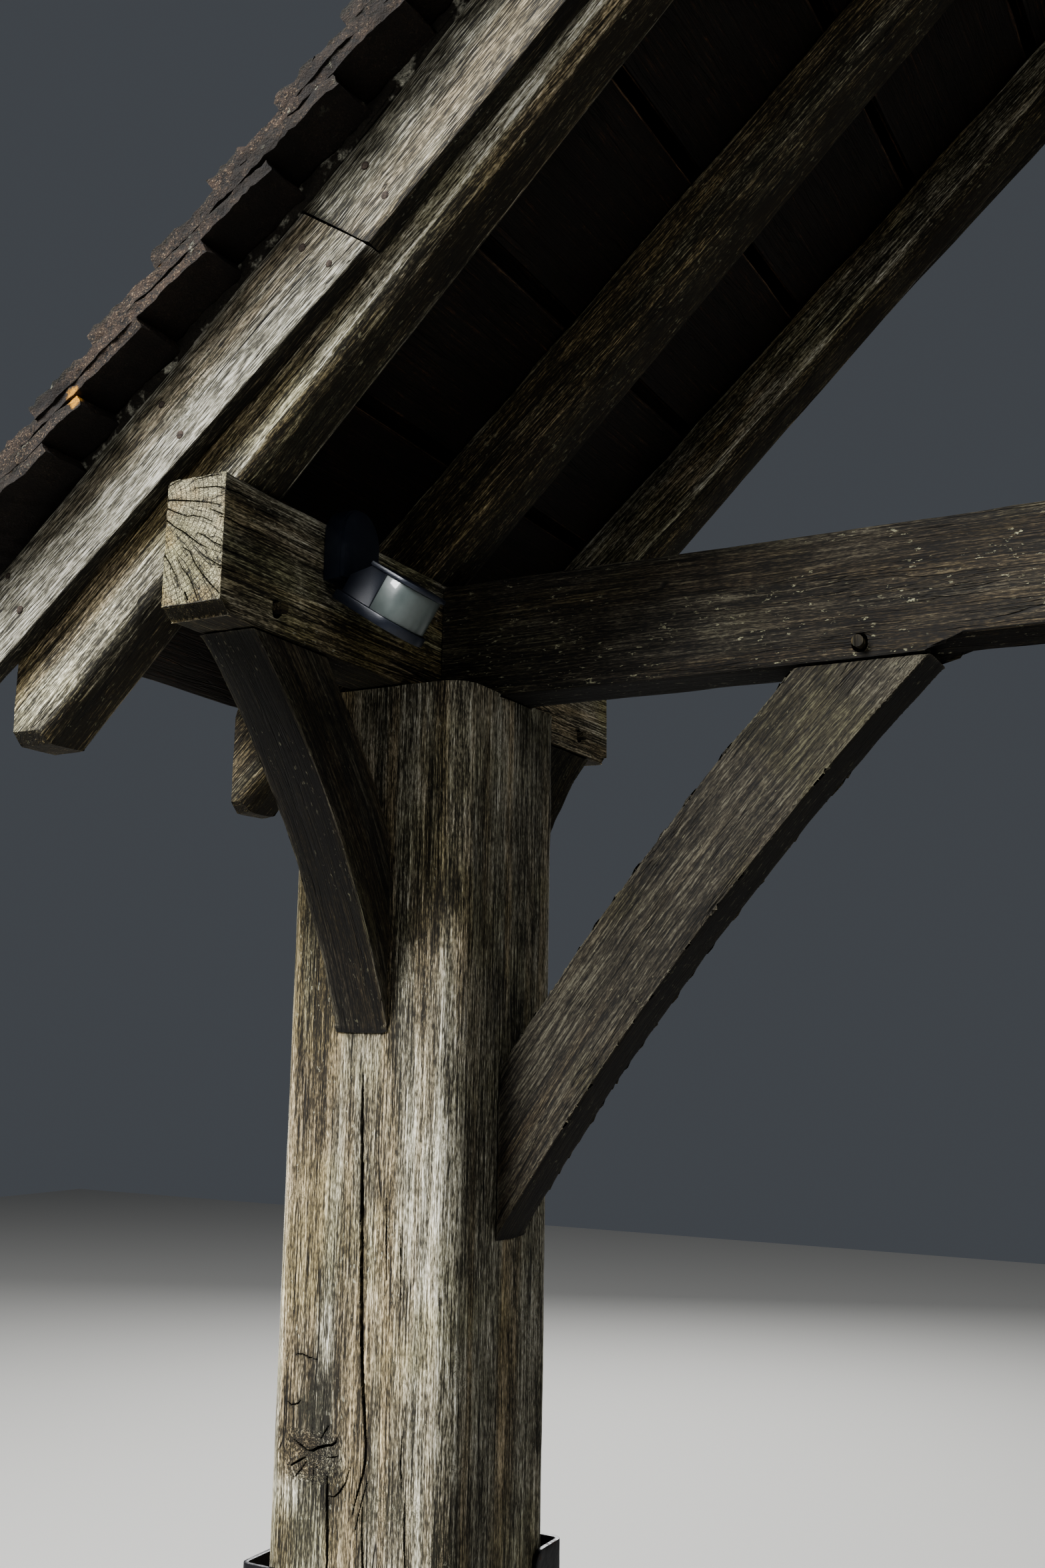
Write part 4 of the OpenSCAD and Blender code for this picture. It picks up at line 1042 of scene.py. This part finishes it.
def nailHead():
    sides, rings = nails["sides"], nails["rings"]
    turns = np.arange(sides) * 2 * math.pi / sides
    shape = [(reach * math.cos(t), reach * math.sin(t), rise) for reach, rise in rings for t in turns]
    shape += [(0, 0, 1.0), (0, 0, 0)]
    top, low = len(shape) - 2, len(shape) - 1
    around = [(i, (i + 1) % sides) for i in range(sides)]
    faces = [[r + i, r + j, r + sides + j, r + sides + i] for r in (0, sides) for i, j in around]
    faces += [[2 * sides + i, 2 * sides + j, top] for i, j in around]
    faces += [[j, i, low] for i, j in around]
    return np.array(shape), faces


def nailFrames():  # each nail's turn, with its size, and place
    cos, sin = math.cos(roof["pitch"]), math.sin(roof["pitch"])
    dice = np.random.default_rng(nails["seed"])
    for side in (-1, 1):
        for face in (-1, 1):
            for s, n in nails["pairs"]:
                slip = (0, 0) if side == face == -1 else dice.normal(0, nails["slip"], 2)
                u = (s + slip[0]) * cos + n * sin
                z = lineHeight - (s + slip[0]) * sin + (n + slip[1]) * cos
                size = nails["head"] * dice.uniform(*nails["sizes"])
                turn = np.array([(size, 0, 0), (0, 0, size * -face), (0, face * nails["proud"], 0)])
                yield turn, np.array((roof["halfSpan"] + side * u, face * (nails["face"] - nails["sunk"]), z))


def nailRust():
    p = Paint("nail_rust")
    rust = p.noise(p.place(), 420.0, 2.0)
    return p.finish(p.ramp(rust, (0.35, (0.018, 0.013, 0.010)), (0.65, (0.060, 0.044, 0.034))), 0.9)


shape, faces = nailHead()
frames = list(nailFrames())
places = np.concatenate([shape @ turn + spot for turn, spot in frames])
firsts = range(0, len(places), len(shape))
faces = [[first + corner for corner in face] for first in firsts for face in faces]
data = bpy.data.meshes.new("barge_nails")
data.from_pydata(places.tolist(), [], faces)
data.shade_smooth()
putPiece(data, "barge_nails", "black_iron", nailRust())
print("nails set:", len(frames))


# Camera where the photographer stood
view = {"place": (0.9595, -1.5485, 1.694), "right": (0.8821, 0.4686, 0.0163),
        "ahead": (-0.4666, 0.8693, 0.1700), "lens": 35.0}
ahead = Vector(view["ahead"]).normalized()
right = Vector(view["right"])
right = (right - ahead * right.dot(ahead)).normalized()
up = right.cross(ahead)
camera = addObject("camera", bpy.data.cameras.new("camera"))
camera.data.sensor_width = 36.0
camera.data.lens = view["lens"]
camera.matrix_world = Matrix.Translation(view["place"]) @ Matrix((right, up, -ahead)).transposed().to_4x4()
bpy.context.scene.camera = camera

# Studio: soft lights, each with its place, size and power, a dim sky and the pale floor
studio = {"lights": {"key_light": ((-3.2, -5.6, 7.4), 5.0, 2150.0),
                     "rear_light": ((-2.5, 6.5, 5.2), 5.0, 420.0),
                     "fill_light": ((4.4, -4.6, 5.2), 3.0, 110.0)},
          "aim": (0.4, 0.0, 2.0), "skyColour": (0.80, 0.86, 0.95), "skyStrength": 0.10,
          "floorSize": 24.0, "floorColour": (0.38, 0.375, 0.36), "floorRough": 0.9}
for name, (place, size, power) in studio["lights"].items():
    light = bpy.data.lights.new(name, "AREA")
    light.shape = "DISK"
    light.size = size
    light.energy = power
    item = addObject(name, light)
    item.location = place
    item.rotation_mode = "QUATERNION"
    item.rotation_quaternion = (Vector(place) - Vector(studio["aim"])).to_track_quat("Z", "Y")
world = bpy.data.worlds.new("studio")
world.use_nodes = True
world.node_tree.nodes["Background"].inputs["Color"].default_value = (*studio["skyColour"], 1)
world.node_tree.nodes["Background"].inputs["Strength"].default_value = studio["skyStrength"]
bpy.context.scene.world = world
bpy.context.scene.view_settings.view_transform = "AgX"
bpy.context.scene.view_settings.look = "AgX - High Contrast"

floorMesh = bpy.data.meshes.new("floor")
half = studio["floorSize"] / 2
corners = [(-half, -half, 0), (half, -half, 0), (half, half, 0), (-half, half, 0)]
floorMesh.from_pydata(corners, [], [(0, 1, 2, 3)])
floorMesh.materials.append(Paint("floor").finish(studio["floorColour"], studio["floorRough"]))
floor = addObject("floor", floorMesh)
floor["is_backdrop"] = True
print("camera, light and floor set")
